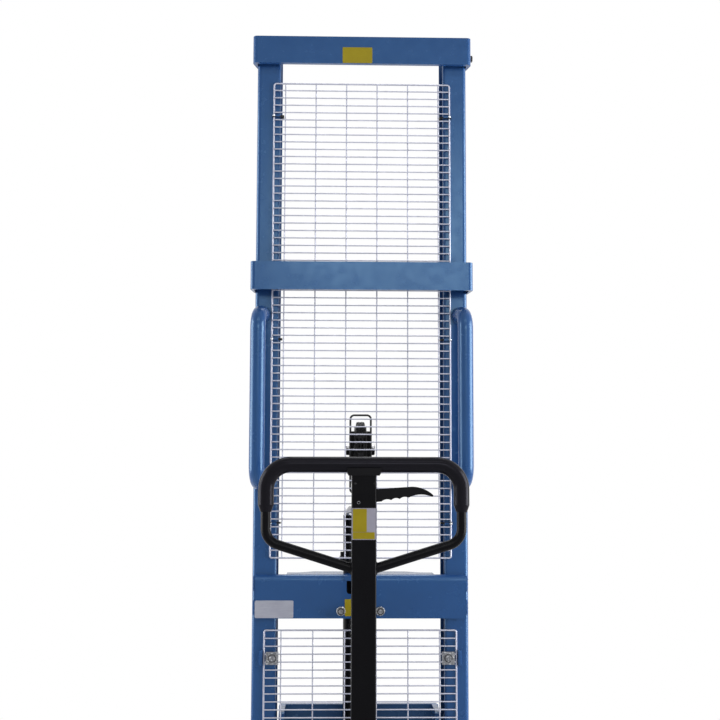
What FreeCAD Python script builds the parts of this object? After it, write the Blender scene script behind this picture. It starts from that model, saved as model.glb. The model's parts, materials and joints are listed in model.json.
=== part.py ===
"""Hand pallet stacker with a hydraulic mast, a steered hand pump and straddle legs.

Millimetres. +X is the operator's right, +Y points to the fork tips, +Z is up. The origin is on the
floor under the middle of the whole length.
"""
import FreeCAD, Part
import math
import os

V = FreeCAD.Vector
X_AXIS = V(1, 0, 0)
Y_AXIS = V(0, 1, 0)
Z_AXIS = V(0, 0, 1)

# Overall
overall_height = 1980.0
fork_travel = 1515.0
slide_gap = 0.3
running_gap = 0.05
weld_touch = 0.02
bend_trim = 0.001
length_tolerance = 1e-6

# Mast channels
mast_width = 480.0
mast_depth = 110.0
channel_flange = 54.0
channel_web = 8.0
flange_thickness = 9.0
toe_radius = 7.0
toe_inner_radius = 1.5
root_radius = 7.0
channel_edge_radius = 9.0

# Plate beams across the back of the mast
beam_edge_radius = 10.0
beam_inner_radius = 2.0
beam_end_lip = 2.0
top_beam_plate = 12.0
top_beam_height = 63.0
top_beam_standoff = 11.5
top_beam_side_reach = 22.0
mid_beam_plate = 9.5
mid_beam_height = 63.0
mid_beam_base = 1390.0
mid_beam_standoff = 44.0
mid_beam_side_reach = 12.0

# Pressed cross member that carries the cylinder
cross_base = 665.0
cross_height = 95.0
cross_width = 466.0
cross_plate = 6.0
cross_standoff = 16.0
cross_bend = 8.0
shelf_side_gap = 4.0
shelf_side_depth = 58.0
shelf_mid_half = 137.0
shelf_mid_depth = 92.0
cross_slot_width = 62.0
cross_slot_height = 29.0
cross_slot_drop = 13.0
cross_slot_corner = 7.0
cross_slot_top_corner = 2.0

# Base, legs and steering head
base_bottom = 24.0
base_plate_thickness = 12.0
base_corner = 12.0
leg_width = 90.0
leg_height = 48.0
leg_bottom = 26.0
leg_wall = 6.0
leg_nose = 60.0
leg_nose_corner = 18.0
head_plate = 10.0
head_back_height = 112.0
head_arm_half = 120.0
head_rib = 8.0
head_rib_half = 62.0
head_rib_start = 70.0
head_rib_toe = 16.0
head_bush_radius = 37.0
head_bush_height = 40.0

# Lift cylinder
cylinder_depth = 66.0
barrel_radius = 38.0
barrel_wall = 8.0
barrel_top = 889.0
barrel_foot = 16.0
gland_height = 20.0
gland_rim = 5.0
gland_top_radius = 25.0
gland_side_inset = 1.0
rod_radius = 20.0
piston_end_gap = 6.5
rod_top = 960.0
piston_height = 30.0
port_radius = 11.0
port_length = 18.0
port_rise = 13.0
port_bore_radius = 5.0

# Cylinder clamp
clamp_rod_radius = 5.0
clamp_rise = 16.0
clamp_thread = 14.0
washer_radius = 10.0
washer_thickness = 2.5
nut_flats = 17.0
nut_height = 8.0
saddle_inner = 15.0
saddle_height = 36.0

# Ram head, pulley and chain
pulley_z = 1038.0
pulley_pitch_radius = 57.0
pulley_flange_radius = 54.0
pulley_width = 27.0
pulley_pin_radius = 10.0
pulley_hub_radius = 20.0
pulley_web_recess = 5.0
pulley_rim = 6.0
pulley_slope = 2.0
pulley_flare = 1.2
pulley_pin_overhang = 8.5
chain_width = 20.0
chain_plate_height = 15.0
chain_waist_height = 11.0
chain_pitch = 25.4
chain_clear = 2.0
cheek_thickness = 5.5
cheek_boss = 5.0
cheek_boss_rise = 30.0
cheek_gap = 1.0
cheek_depth = 60.0
cheek_top_rise = 41.0
cheek_corner = 8.0
head_plate_height = 14.0
head_pad_width = 7.0
head_pad_height = 15.0
head_pad_drop = 13.0
head_pad_depth = 40.0
head_pad_corner = 3.0
keeper_wire = 4.5
keeper_half = 25.5
keeper_top_rise = 79.0
keeper_height = 180.0
keeper_corner = 9.0
chain_anchor_height = 30.0
chain_anchor_half = 20.0
chain_anchor_lip = 1.0
rear_anchor_base = 155.0
front_anchor_base = 156.0

# Fork carriage and forks
carriage_plate = 12.0
carriage_side_gap = 6.0
carriage_bottom = 95.0
carriage_top = 455.0
carriage_tail = 24.0
carriage_corner = 20.0
bar_thickness = 16.0
bar_gap = 24.0
lower_bar_height = 95.0
upper_bar_height = 70.0
roller_radius = 45.0
roller_width = 34.0
roller_side_gap = 7.0
roller_pin_radius = 12.0
roller_low_z = 150.0
roller_high_z = 410.0
roller_rim_chamfer = 3.0
fork_spread = 550.0
fork_width = 160.0
fork_length = 1150.0
fork_top = 88.0
fork_depth = 48.0
fork_wall = 6.0
fork_shank = 12.0
fork_shank_top = 300.0
fork_tip_length = 120.0
fork_tip_half = 45.0
fork_tip_drop = 24.0
fork_corner = 20.0
fork_shoulder_radius = 60.0
fork_ramp_radius = 150.0
fork_ramp_start = 20.0
fork_shank_corner = 14.0

# Load rollers in the legs
load_roller_radius = 38.0
load_roller_width = 62.0
load_axle_radius = 10.0
load_axle_inset = 165.0
load_window_gap = 4.0
load_hub_wall = 12.0
load_face_slope = 1.0
load_face_recess = 3.0
load_rim_wall = 6.0
load_rim_slope = 2.0
load_rim_chamfer = 3.0

# Steered wheels and king pin
king_pin_reach = 270.0
king_pin_radius = 18.0
king_pin_seat = 22.0
steer_radius = 90.0
steer_width = 50.0
steer_hub_radius = 64.0
steer_hub_boss = 24.0
steer_hub_recess = 12.0
steer_inner_gap = 3.0
steer_web_slope = 3.0
steer_rim_wall = 7.0
steer_rim_inset = 2.0
tread_side = 12.0
tread_round = 5.0
tread_draft = 1.5
tread_edge = 7.0
wheel_axle_radius = 10.0
wheel_axle_overhang = 6.0
fork_neck_half = 18.0
fork_neck_depth = 60.0
fork_flange_radius = 40.0
wheel_top_gap = 3.0
fork_flange_height = 5.0
bearing_height = 12.0
bearing_radius = 33.0
bearing_groove_half = 0.7
bearing_groove_flare = 0.5
bearing_groove_depth = 2.0

# Hand pump
pump_flange_height = 40.0
pump_half_width = 60.0
pump_front = 66.0
pump_rear = 80.0
pump_corner = 16.0
ear_inner = 28.0
ear_thickness = 12.0
ear_radius = 18.0
ear_spread = 14.0
ear_top_flat = 1.5
pivot_radius = 9.0
pivot_pin_overhang = 4.0
plunger_radius = 10.0
plunger_guide_radius = 26.0
plunger_guide_height = 12.0
plunger_cap_radius = 19.5
plunger_cap_height = 8.0
plunger_sunk = 9.0
plunger_bore_floor = 1.0
spring_length = 76.0
spring_wire_radius = 1.6
spring_radius = 17.0
spring_turns = 8
spring_steps = 4
tank_radius = 30.0
tank_height = 68.0
tank_forward = 42.0
tank_cap_radius = 9.0
tank_cap_height = 8.0
tank_chamfer = 5.0

# Tiller
tiller_swing = 70.0
pivot_forward = -2.0
roller_arm = 34.0
press_roller_radius = 16.0
press_roller_width = 27.0
press_pin_radius = 6.0
press_pin_overhang = 2.0
press_roller_chamfer = 1.5
tiller_arm_inner = 44.0
tiller_arm_thickness = 12.0
tiller_eye_radius = 20.0
tiller_eye_small = 13.0
tiller_link_half = 12.0
bridge_rise = 45.0
bridge_height = 32.0
bridge_half_depth = 18.0
socket_wall = 5.0
socket_height = 38.0
column_width = 50.0
column_depth = 28.0
column_wall = 2.5
column_corner = 4.0
grip_top = 1015.0
grip_radius = 16.0
grip_taper = 14.0
grip_end_z = 904.0
grip_lip = 1.0
loop_width = 427.0
loop_tube_radius = 10.0
loop_corner = 50.0
loop_lower_bend = 34.0
loop_shoulder_z = 846.0
loop_root_z = 790.0
loop_root_inset = 6.0
collar_half = 34.0
collar_foot = 31.0
collar_height = 15.0
collar_half_depth = 17.0
collar_overlap = 9.0
collar_chamfer = 5.0

# Release lever and rod
lever_z = 940.0
lever_pin_x = 14.0
lever_pin_radius = 3.0
lever_pin_overhang = 1.0
lever_thickness = 12.0
lever_side_gap = 1.0
lever_slot_half = 21.0

# Release lever outline as (x, z) offsets from its pin
lever_tail_top = (-18.0, 8.2)
lever_top_end = (83.5, 15.0)
lever_nose_crest = (108.5, 9.6)
lever_nose = (125.3, -1.2)
lever_nose_low = (125.3, -4.2)
lever_nose_under = (123.6, -5.4)
lever_hook_crest = (100.0, -0.8)
lever_cusps = ((75.7, -7.2), (58.1, -9.8), (41.0, -12.2), (21.5, -14.8))
lever_scallop_depth = 3.0
lever_root_low = (9.0, -16.0)
lever_heel = (-7.0, -4.0)
lever_tail_low = (-18.0, -4.0)

# Release rod
release_rod_radius = 4.0
release_rod_drop = 0.9
release_rod_reach = 3.0

# Push handles
handle_tube_radius = 17.0
handle_end_x = 222.0
handle_grip_x = 229.5
handle_standoff = 62.0
handle_bottom = 963.0
handle_top = 1339.0
handle_bend = 38.0
handle_sink = 6.0

# Wire guards
guard_frame_radius = 1.9
guard_wire_radius = 1.45
guard_pitch = 17.12
guard_corner = 3.0
guard_bend = 3.0
guard_upright_x = (35.0, 105.0, 175.0)
upper_guard_half = 203.0
upper_guard_top = 1874.5
upper_guard_rows = 63
lower_guard_half = 214.0
lower_guard_top = 638.0
lower_guard_rows = 20
clip_rows = (4.5, 34.5, 58.5)
clip_height = 3.6
clip_plate = 2.4
clip_toe_gap = 5.6
clip_grip = 3.0
clip_screw_radius = 2.8
clip_screw_height = 3.0
clamp_rows = (3.5, 16.5)
clamp_x = 194.0
clamp_size = 28.0
clamp_plate = 3.0
clamp_bolt_radius = 4.0
clamp_bolt_flats = 13.0
clamp_bolt_head = 5.5

# Stations along Y, from the back of the steered wheels to the fork tips
fork_face_from_mast = mast_depth + bar_gap + bar_thickness + fork_shank
whole_length = king_pin_reach + steer_radius + fork_face_from_mast + fork_length
mast_back = -whole_length / 2 + steer_radius + king_pin_reach
mast_front = mast_back + mast_depth
cylinder_y = mast_back + cylinder_depth
king_y = mast_back - king_pin_reach
bar_back = mast_front + bar_gap
bar_front = bar_back + bar_thickness
fork_face = bar_front + fork_shank
fork_tip = fork_face + fork_length
load_axle_y = fork_tip - load_axle_inset
leg_front = load_axle_y + leg_nose

# Other shared places
mast_half = mast_width / 2
flange_tip_x = mast_half - channel_flange
mast_base = base_bottom + base_plate_thickness
carriage_outer = flange_tip_x - carriage_side_gap
carriage_inner = carriage_outer - carriage_plate
ram_travel = fork_travel / 2
rod_bottom = barrel_top - ram_travel - piston_height - piston_end_gap
roller_centre_x = mast_half - channel_web - roller_side_gap - roller_width / 2
roller_centre_y = mast_back + mast_depth / 2
chain_front_y = cylinder_y + pulley_pitch_radius
chain_rear_y = cylinder_y - pulley_pitch_radius
cheek_inner = pulley_width / 2 + cheek_gap
cheek_outer = cheek_inner + cheek_thickness
boss_outer = cheek_outer + cheek_boss
fork_centre_x = (fork_spread - fork_width) / 2
leg_centre_x = fork_centre_x
wheel_inner = fork_neck_half + steer_inner_gap
wheel_outer = wheel_inner + steer_width
axle_z = steer_radius
neck_top = 2 * steer_radius + wheel_top_gap
head_base = neck_top + fork_flange_height + slide_gap
head_top = head_base + head_bush_height
pump_base = head_top + bearing_height + slide_gap
pump_top = pump_base + pump_flange_height
spring_base = pump_top + plunger_guide_height
cap_top = spring_base + spring_length + plunger_cap_height
swing_half = math.radians(tiller_swing / 2)
pivot_z = cap_top + slide_gap + press_roller_radius - roller_arm * math.sin(swing_half)
pivot_y = king_y + pivot_forward
press_y = pivot_y - roller_arm * math.cos(swing_half)
press_z = pivot_z + roller_arm * math.sin(swing_half)
plunger_y = pivot_y - roller_arm * (1 + math.cos(swing_half)) / 2
column_base = pivot_z + bridge_rise + bridge_height
grip_z = grip_top - grip_radius
column_top = grip_z - grip_radius - collar_height + collar_overlap
tiller_arm_outer = tiller_arm_inner + tiller_arm_thickness
ear_outer = ear_inner + ear_thickness
clamp_leg_x = barrel_radius + clamp_rod_radius + slide_gap
loop_half = loop_width / 2 - grip_radius


def box(x0, x1, y0, y1, z0, z1):
    """Box between two corners."""
    return Part.makeBox(x1 - x0, y1 - y0, z1 - z0, V(x0, y0, z0))


def rod(start, end, radius):
    """Round bar from one point to another."""
    return Part.makeCylinder(radius, (end - start).Length, start, end - start)


def mirrored(shape):
    """The same piece on the other side of the truck."""
    return shape.mirror(V(0, 0, 0), X_AXIS)


def both_sides(shape):
    """A piece and its mirror image."""
    return [shape, mirrored(shape)]


def fused(shapes):
    """One welded or cast piece."""
    return shapes[0].multiFuse(shapes[1:]).removeSplitter()


def rounded_edges(points, radii, closed):
    """Straight runs through the points, joined by tangent arcs of the given radii."""
    count = len(points)
    starts = []
    ends = []
    arcs = []
    for i in range(count):
        corner = points[i]
        radius = radii[i]
        inner = closed or 0 < i < count - 1
        if not inner or radius <= 0:
            starts.append(corner)
            ends.append(corner)
            arcs.append(None)
            continue
        back = (points[i - 1] - corner).normalize()
        ahead = (points[(i + 1) % count] - corner).normalize()
        half = back.getAngle(ahead) / 2
        tangent = radius / math.tan(half)
        middle = corner + (back + ahead).normalize() * (radius / math.sin(half) - radius)
        starts.append(corner + back * tangent)
        ends.append(corner + ahead * tangent)
        arcs.append(Part.Arc(starts[-1], middle, ends[-1]).toShape())
    edges = []
    for i in range(count):
        if arcs[i]:
            edges.append(arcs[i])
        following = (i + 1) % count
        if (closed or following) and (starts[following] - ends[i]).Length > length_tolerance:
            edges.append(Part.LineSegment(ends[i], starts[following]).toShape())
    return edges


def outline_face(points, radii):
    """Flat face with rounded corners."""
    if not isinstance(radii, (list, tuple)):
        radii = [radii] * len(points)
    return Part.Face(Part.Wire(rounded_edges(points, radii, True)))


def plan_plate(corners, radii, z0, z1):
    """Plate with an outline in plan."""
    face = outline_face([V(x, y, z0) for x, y in corners], radii)
    return face.extrude(V(0, 0, z1 - z0))


def side_plate(corners, radii, x0, x1):
    """Plate with an outline seen from the side."""
    face = outline_face([V(x0, y, z) for y, z in corners], radii)
    return face.extrude(V(x1 - x0, 0, 0))


def front_plate(corners, radii, y0, y1):
    """Plate with an outline seen from the front."""
    face = outline_face([V(x, y0, z) for x, z in corners], radii)
    return face.extrude(V(0, y1 - y0, 0))


def rectangle(a0, a1, b0, b1):
    """Corners of a rectangle."""
    return [(a0, b0), (a1, b0), (a1, b1), (a0, b1)]


def bent_tube(points, radii, radius):
    """Round tube or wire along straight runs and tangent bends."""
    if not isinstance(radii, (list, tuple)):
        radii = [radii] * len(points)
    path = Part.Wire(rounded_edges(points, radii, False))
    circle = Part.Circle(points[0], points[1] - points[0], radius)
    return path.makePipeShell([Part.Wire(circle.toShape())], True, False)


def closed_wire_ring(points, bend, radius):
    """Wire bent into a closed ring, made as two halves that meet."""
    middle = (points[0] + points[-1]) * 0.5
    half = len(points) // 2
    far = (points[half - 1] + points[half]) * 0.5
    first = bent_tube([middle] + points[:half] + [far], bend, radius)
    second = bent_tube([far] + points[half:] + [middle], bend, radius)
    return fused([first, second])


def turned(profile, centre, axis):
    """Solid of revolution from (radius, along) corners about an axis through a centre."""
    side = Z_AXIS if abs(axis.z) < 0.5 else X_AXIS
    corners = [centre + side * radius + axis * along for radius, along in profile]
    face = Part.Face(Part.makePolygon(corners + corners[:1]))
    return face.revolve(centre, axis, 360)


def hex_prism(centre, axis, flats, height):
    """Hexagon nut or bolt head that starts at a centre."""
    side = Z_AXIS if abs(axis.z) < 0.5 else X_AXIS
    across = axis.cross(side)
    reach = flats / math.sqrt(3)
    corners = []
    for i in range(6):
        angle = math.radians(60 * i)
        corners.append(centre + side * (reach * math.cos(angle)) + across * (reach * math.sin(angle)))
    return Part.Face(Part.makePolygon(corners + corners[:1])).extrude(axis * height)


# Mast and its beams

def mast_channel():
    """Right mast channel, open towards the middle."""
    web_in = mast_half - channel_web
    corners = [
        (mast_half, mast_back),
        (mast_half, mast_front),
        (flange_tip_x, mast_front),
        (flange_tip_x, mast_front - flange_thickness),
        (web_in, mast_front - flange_thickness),
        (web_in, mast_back + flange_thickness),
        (flange_tip_x, mast_back + flange_thickness),
        (flange_tip_x, mast_back),
    ]
    edge = channel_edge_radius
    toe = toe_radius
    inner = toe_inner_radius
    radii = [edge, edge, toe, inner, root_radius, root_radius, inner, toe]
    return plan_plate(corners, radii, mast_base, overall_height - top_beam_plate)


def wrap_beam(base, height, standoff, plate, side_reach):
    """Beam welded of three plates round the back of both mast channels, its ends thinned out."""
    half = mast_half + plate
    back = mast_back - standoff - plate
    reach = mast_back + side_reach
    end = mast_half + beam_end_lip
    outer = plan_plate(
        [(-half, back), (half, back), (end, reach), (-end, reach)],
        [beam_edge_radius, beam_edge_radius, 0, 0],
        base,
        base + height,
    )
    inner = plan_plate(
        rectangle(-mast_half, mast_half, back + plate, reach + plate),
        [beam_inner_radius, beam_inner_radius, 0, 0],
        base,
        base + height,
    )
    return outer.cut(inner)


def top_beam():
    """Beam at the mast head."""
    base = overall_height - top_beam_height
    return wrap_beam(
        base, top_beam_height, top_beam_standoff, top_beam_plate, top_beam_side_reach
    )


def mid_beam():
    """Beam above the push handles."""
    return wrap_beam(
        mid_beam_base, mid_beam_height, mid_beam_standoff, mid_beam_plate, mid_beam_side_reach
    )


def cross_member():
    """Pressed plate on the back of the mast, with a shelf cut out for the cylinder and chain."""
    back = mast_back - cross_standoff
    inside = back + cross_plate
    top = cross_base + cross_height
    outer_bend = cross_bend + cross_plate
    bend_end = back + outer_bend
    half = cross_width / 2
    web = side_plate(
        [
            (back, cross_base),
            (back, top),
            (bend_end, top),
            (bend_end, top - cross_plate),
            (inside, top - cross_plate),
            (inside, cross_base),
        ],
        [0, outer_bend - bend_trim, 0, 0, cross_bend - bend_trim, 0],
        -half,
        half,
    )
    side_x = carriage_inner - shelf_side_gap
    side_y = mast_back + shelf_side_depth
    mid_y = mast_back + shelf_mid_depth
    chamfer = mid_y - side_y
    right = [
        (half, bend_end),
        (half, mast_back),
        (side_x, mast_back),
        (side_x, side_y),
        (shelf_mid_half, side_y),
        (shelf_mid_half - chamfer, mid_y),
    ]
    left = [(-x, y) for x, y in reversed(right)]
    shelf = plan_plate(right + left, 0, top - cross_plate, top)
    notch_radius = barrel_radius + 2 * slide_gap
    notch = [
        box(-notch_radius, notch_radius, cylinder_y, mid_y + cross_plate, top - cross_plate, top),
        Part.makeCylinder(notch_radius, cross_plate, V(0, cylinder_y, top - cross_plate)),
        chain_slot(top - cross_plate, top),
    ]
    slot_top = top - cross_slot_drop
    slot = front_plate(
        rectangle(
            -cross_slot_width / 2, cross_slot_width / 2, slot_top - cross_slot_height, slot_top
        ),
        [cross_slot_corner, cross_slot_corner, cross_slot_top_corner, cross_slot_top_corner],
        back,
        inside,
    )
    clamp_z = cross_base + clamp_rise
    holes = []
    for side in (-1, 1):
        centre = V(side * clamp_leg_x, back, clamp_z)
        holes.append(Part.makeCylinder(clamp_rod_radius + slide_gap, cross_plate, centre, Y_AXIS))
    return fused([web, shelf]).cut(Part.makeCompound(notch + [slot] + holes))


def chain_slot(z0, z1):
    """Room for the rear chain run beside the barrel."""
    half = chain_width / 2 + chain_clear
    rear = chain_rear_y - chain_plate_height / 2 - chain_clear
    return box(-half, half, rear, cylinder_y, z0, z1)


# Base, legs and steering head

def base_plate():
    """Flat plate under the mast and the cylinder."""
    return plan_plate(
        rectangle(-mast_half, mast_half, mast_back - head_plate, mast_front),
        [base_corner, base_corner, 0, 0],
        base_bottom,
        mast_base,
    )


def leg():
    """Right straddle leg: a channel open below, with a window for the load roller."""
    x0 = leg_centre_x - leg_width / 2
    x1 = leg_centre_x + leg_width / 2
    top = leg_bottom + leg_height
    outer = plan_plate(
        rectangle(x0, x1, mast_front, leg_front),
        [0, 0, leg_nose_corner, leg_nose_corner],
        leg_bottom,
        top,
    )
    inner = plan_plate(
        rectangle(x0 + leg_wall, x1 - leg_wall, mast_front + leg_wall, leg_front - leg_wall),
        [0, 0, leg_nose_corner - leg_wall, leg_nose_corner - leg_wall],
        leg_bottom,
        top - leg_wall,
    )
    reach = load_roller_radius + load_window_gap
    half = load_roller_width / 2 + load_window_gap
    window = box(
        leg_centre_x - half,
        leg_centre_x + half,
        load_axle_y - reach,
        load_axle_y + reach,
        leg_bottom,
        top,
    )
    axle_z0 = load_roller_radius
    bore = rod(V(x0, load_axle_y, axle_z0), V(x1, load_axle_y, axle_z0), load_axle_radius)
    return outer.cut(Part.makeCompound([inner, window])).cut(bore)


def steering_head():
    """Welded bracket behind the mast that carries the king pin bush."""
    back = mast_back - head_plate
    plate_base = head_top - head_back_height + head_bush_height
    upright = box(-mast_half, mast_half, back, mast_back, plate_base, head_top + head_bush_height)
    corners = [
        (head_arm_half, back),
        (head_bush_radius, king_y),
        (-head_bush_radius, king_y),
        (-head_arm_half, back),
    ]
    arm = plan_plate(corners, 0, head_top - head_plate, head_top)
    ribs = []
    for side in (-1, 1):
        rib_x = side * head_rib_half
        rib = side_plate(
            [
                (king_y + head_rib_start, head_top - head_plate),
                (back, head_top - head_plate),
                (back, plate_base),
                (back - head_rib_toe, plate_base),
            ],
            0,
            rib_x - head_rib / 2,
            rib_x + head_rib / 2,
        )
        ribs.append(rib)
    bush = Part.makeCylinder(head_bush_radius, head_bush_height, V(0, king_y, head_base))
    bore = Part.makeCylinder(
        king_pin_radius + running_gap, head_bush_height, V(0, king_y, head_base)
    )
    return fused([upright, arm, bush] + ribs).cut(bore)


# Push handles

def push_handle():
    """Right push handle, a bent tube splayed outwards and fitted to the mast."""
    root = mast_back + handle_sink
    hold = mast_back - handle_standoff
    points = [
        V(handle_end_x, root, handle_bottom),
        V(handle_grip_x, hold, handle_bottom),
        V(handle_grip_x, hold, handle_top),
        V(handle_end_x, root, handle_top),
    ]
    radii = [0, handle_bend, handle_bend, 0]
    return bent_tube(points, radii, handle_tube_radius).cut(mast_channel())


# Wire guards

def guard_row_z(top, row):
    """Height of a cross wire, counted down from the top one."""
    return top - row * guard_pitch


def wire_guard(half, top, rows):
    """Welded panel: a bent frame wire and uprights on the mast, cross wires on their back."""
    bottom = guard_row_z(top, rows)
    frame_y = mast_back - guard_frame_radius - weld_touch
    cross_y = frame_y - guard_frame_radius - guard_wire_radius - weld_touch
    upright_y = cross_y + 2 * guard_wire_radius + weld_touch
    edge = half - guard_frame_radius
    cut = guard_corner
    right = [
        V(edge - cut, frame_y, bottom),
        V(edge, frame_y, bottom + cut),
        V(edge, frame_y, top - cut),
        V(edge - cut, frame_y, top),
    ]
    left = [V(-p.x, p.y, p.z) for p in reversed(right)]
    wires = [closed_wire_ring(right + left, guard_bend, guard_frame_radius)]
    for x in guard_upright_x:
        for side in (-1, 1):
            low = V(side * x, upright_y, bottom + guard_frame_radius + weld_touch)
            high = V(side * x, upright_y, top - guard_frame_radius - weld_touch)
            wires.append(rod(low, high, guard_wire_radius))
    for row in range(1, rows):
        z = guard_row_z(top, row)
        wires.append(rod(V(-edge, cross_y, z), V(edge, cross_y, z), guard_wire_radius))
    return Part.makeCompound(wires)


def guard_clips():
    """Hooks round the toes of the mast channels that hold the upper guard."""
    hooks = []
    seat = mast_back - 2 * guard_frame_radius - 2 * weld_touch
    back = seat - clip_plate
    outer = upper_guard_half + slide_gap
    toe = flange_tip_x - clip_toe_gap
    behind = mast_back + flange_thickness + slide_gap
    tip = flange_tip_x + clip_grip
    corners = [
        (outer, mast_back),
        (outer + clip_plate, mast_back),
        (outer + clip_plate, back),
        (toe - clip_plate, back),
        (toe - clip_plate, behind + clip_plate),
        (tip, behind + clip_plate),
        (tip, behind),
        (toe, behind),
        (toe, seat),
        (outer, seat),
    ]
    for row in clip_rows:
        z = guard_row_z(upper_guard_top, row)
        hook = plan_plate(corners, 0, z - clip_height / 2, z + clip_height / 2)
        place = V(upper_guard_half - guard_frame_radius, back, z)
        screw = Part.makeCylinder(clip_screw_radius, clip_screw_height, place, -Y_AXIS)
        hooks += both_sides(fused([hook, screw]))
    return Part.makeCompound(hooks)


def guard_clamps():
    """Square plates and bolts that hold the lower guard on the mast."""
    pieces = []
    wire_back = mast_back - 2 * (guard_frame_radius + guard_wire_radius) - 3 * weld_touch
    plate_back = wire_back - clamp_plate
    half = clamp_size / 2
    for row in clamp_rows:
        z = guard_row_z(lower_guard_top, row)
        plate = box(clamp_x - half, clamp_x + half, plate_back, wire_back, z - half, z + half)
        shank = Part.makeCylinder(
            clamp_bolt_radius, mast_back - plate_back, V(clamp_x, plate_back, z), Y_AXIS
        )
        head = hex_prism(V(clamp_x, plate_back, z), -Y_AXIS, clamp_bolt_flats, clamp_bolt_head)
        pieces += both_sides(fused([plate, shank, head]))
    return Part.makeCompound(pieces)


# Lift cylinder, ram and chain

def cylinder_barrel():
    """Barrel with a welded foot and an oil port."""
    outer = Part.makeCylinder(barrel_radius, barrel_top - mast_base, V(0, cylinder_y, mast_base))
    bore = Part.makeCylinder(
        barrel_radius - barrel_wall,
        barrel_top - mast_base - barrel_foot,
        V(0, cylinder_y, mast_base + barrel_foot),
    )
    port_z = mast_base + barrel_foot + port_rise
    port = rod(
        V(barrel_radius - barrel_wall, cylinder_y, port_z),
        V(barrel_radius + port_length, cylinder_y, port_z),
        port_radius,
    )
    drilling = rod(
        V(0, cylinder_y, port_z),
        V(barrel_radius + port_length, cylinder_y, port_z),
        port_bore_radius,
    )
    return fused([outer, port]).cut(bore).cut(drilling)


def cylinder_gland():
    """Screwed gland that guides the ram."""
    inner = rod_radius + running_gap
    side = barrel_radius - gland_side_inset
    profile = [
        (inner, 0),
        (side, 0),
        (side, gland_rim),
        (gland_top_radius, gland_height),
        (inner, gland_height),
    ]
    return turned(profile, V(0, cylinder_y, barrel_top), Z_AXIS)


def cylinder_clamp():
    """U-bolt round the barrel with washers and nuts on the back of the cross member."""
    x = clamp_leg_x
    z = cross_base + clamp_rise
    back = mast_back - cross_standoff
    tail = back - washer_thickness - clamp_thread
    straight = [Part.LineSegment(V(x, tail, z), V(x, cylinder_y, z)).toShape()]
    bow = Part.Arc(V(x, cylinder_y, z), V(0, cylinder_y + x, z), V(-x, cylinder_y, z)).toShape()
    other = [Part.LineSegment(V(-x, cylinder_y, z), V(-x, tail, z)).toShape()]
    circle = Part.Circle(V(x, tail, z), Y_AXIS, clamp_rod_radius)
    path = Part.Wire(straight + [bow] + other)
    pieces = [path.makePipeShell([Part.Wire(circle.toShape())], True, False)]
    hole = clamp_rod_radius + weld_touch
    for side in (-1, 1):
        centre = V(side * x, back, z)
        washer = Part.makeCylinder(washer_radius, washer_thickness, centre, -Y_AXIS)
        seat = centre - Y_AXIS * washer_thickness
        nut = hex_prism(seat, -Y_AXIS, nut_flats, nut_height)
        bore = Part.makeCylinder(hole, washer_thickness + nut_height, centre, -Y_AXIS)
        pieces += [washer.cut(bore), nut.cut(bore)]
    return Part.makeCompound(pieces)


def cylinder_saddle():
    """Two blocks between the cross member and the barrel, with the chain between them."""
    inside = mast_back - cross_standoff + cross_plate
    block = box(
        saddle_inner,
        barrel_radius - slide_gap,
        inside,
        cylinder_y,
        cross_base,
        cross_base + saddle_height,
    )
    barrel = Part.makeCylinder(barrel_radius, saddle_height, V(0, cylinder_y, cross_base))
    return Part.makeCompound(both_sides(block.cut(barrel)))


def ram_rod():
    """Polished ram with its piston in the barrel."""
    shaft = Part.makeCylinder(rod_radius, rod_top - rod_bottom, V(0, cylinder_y, rod_bottom))
    piston = Part.makeCylinder(
        barrel_radius - barrel_wall - running_gap, piston_height, V(0, cylinder_y, rod_bottom)
    )
    return fused([shaft, piston])


def ram_head():
    """Plate on the ram with two cheeks that hold the pulley."""
    plate_top = rod_top + head_plate_height
    half = cheek_depth / 2
    y0 = cylinder_y - half
    y1 = cylinder_y + half
    top = pulley_z + cheek_top_rise
    rounding = [0, 0, cheek_corner, cheek_corner]
    cheek = side_plate(rectangle(y0, y1, rod_top, top), rounding, cheek_inner, cheek_outer)
    boss_base = rod_top + cheek_boss_rise
    boss = side_plate(rectangle(y0, y1, boss_base, top), rounding, cheek_outer, boss_outer)
    pad_z = pulley_z - head_pad_drop
    pad = side_plate(
        rectangle(
            cylinder_y - head_pad_depth / 2,
            cylinder_y + head_pad_depth / 2,
            pad_z,
            pad_z + head_pad_height,
        ),
        head_pad_corner,
        boss_outer,
        boss_outer + head_pad_width,
    )
    plate = box(-cheek_outer, cheek_outer, y0, y1, rod_top, plate_top)
    reach = boss_outer + head_pad_width
    bore = rod(V(-reach, cylinder_y, pulley_z), V(reach, cylinder_y, pulley_z), pulley_pin_radius)
    cheeks = both_sides(cheek) + both_sides(boss) + both_sides(pad)
    return fused([plate] + cheeks).cut(bore)


def pulley_pin():
    """Pin through the cheeks."""
    reach = boss_outer + pulley_pin_overhang
    return rod(V(-reach, cylinder_y, pulley_z), V(reach, cylinder_y, pulley_z), pulley_pin_radius)


def chain_pulley():
    """Grooved chain pulley, dished on both sides."""
    half = pulley_width / 2
    groove = chain_width / 2 + slide_gap
    root = pulley_pitch_radius - chain_plate_height / 2 - slide_gap
    web = half - pulley_web_recess
    rim = root - pulley_rim
    bore = pulley_pin_radius + running_gap
    right = [
        (bore, half),
        (pulley_hub_radius, half),
        (pulley_hub_radius + pulley_slope, web),
        (rim - pulley_slope, web),
        (rim, half),
        (pulley_flange_radius, half),
        (pulley_flange_radius, groove + pulley_flare),
        (root, groove),
    ]
    left = [(radius, -along) for radius, along in reversed(right)]
    return turned(right + left, V(0, cylinder_y, pulley_z), X_AXIS)


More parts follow.
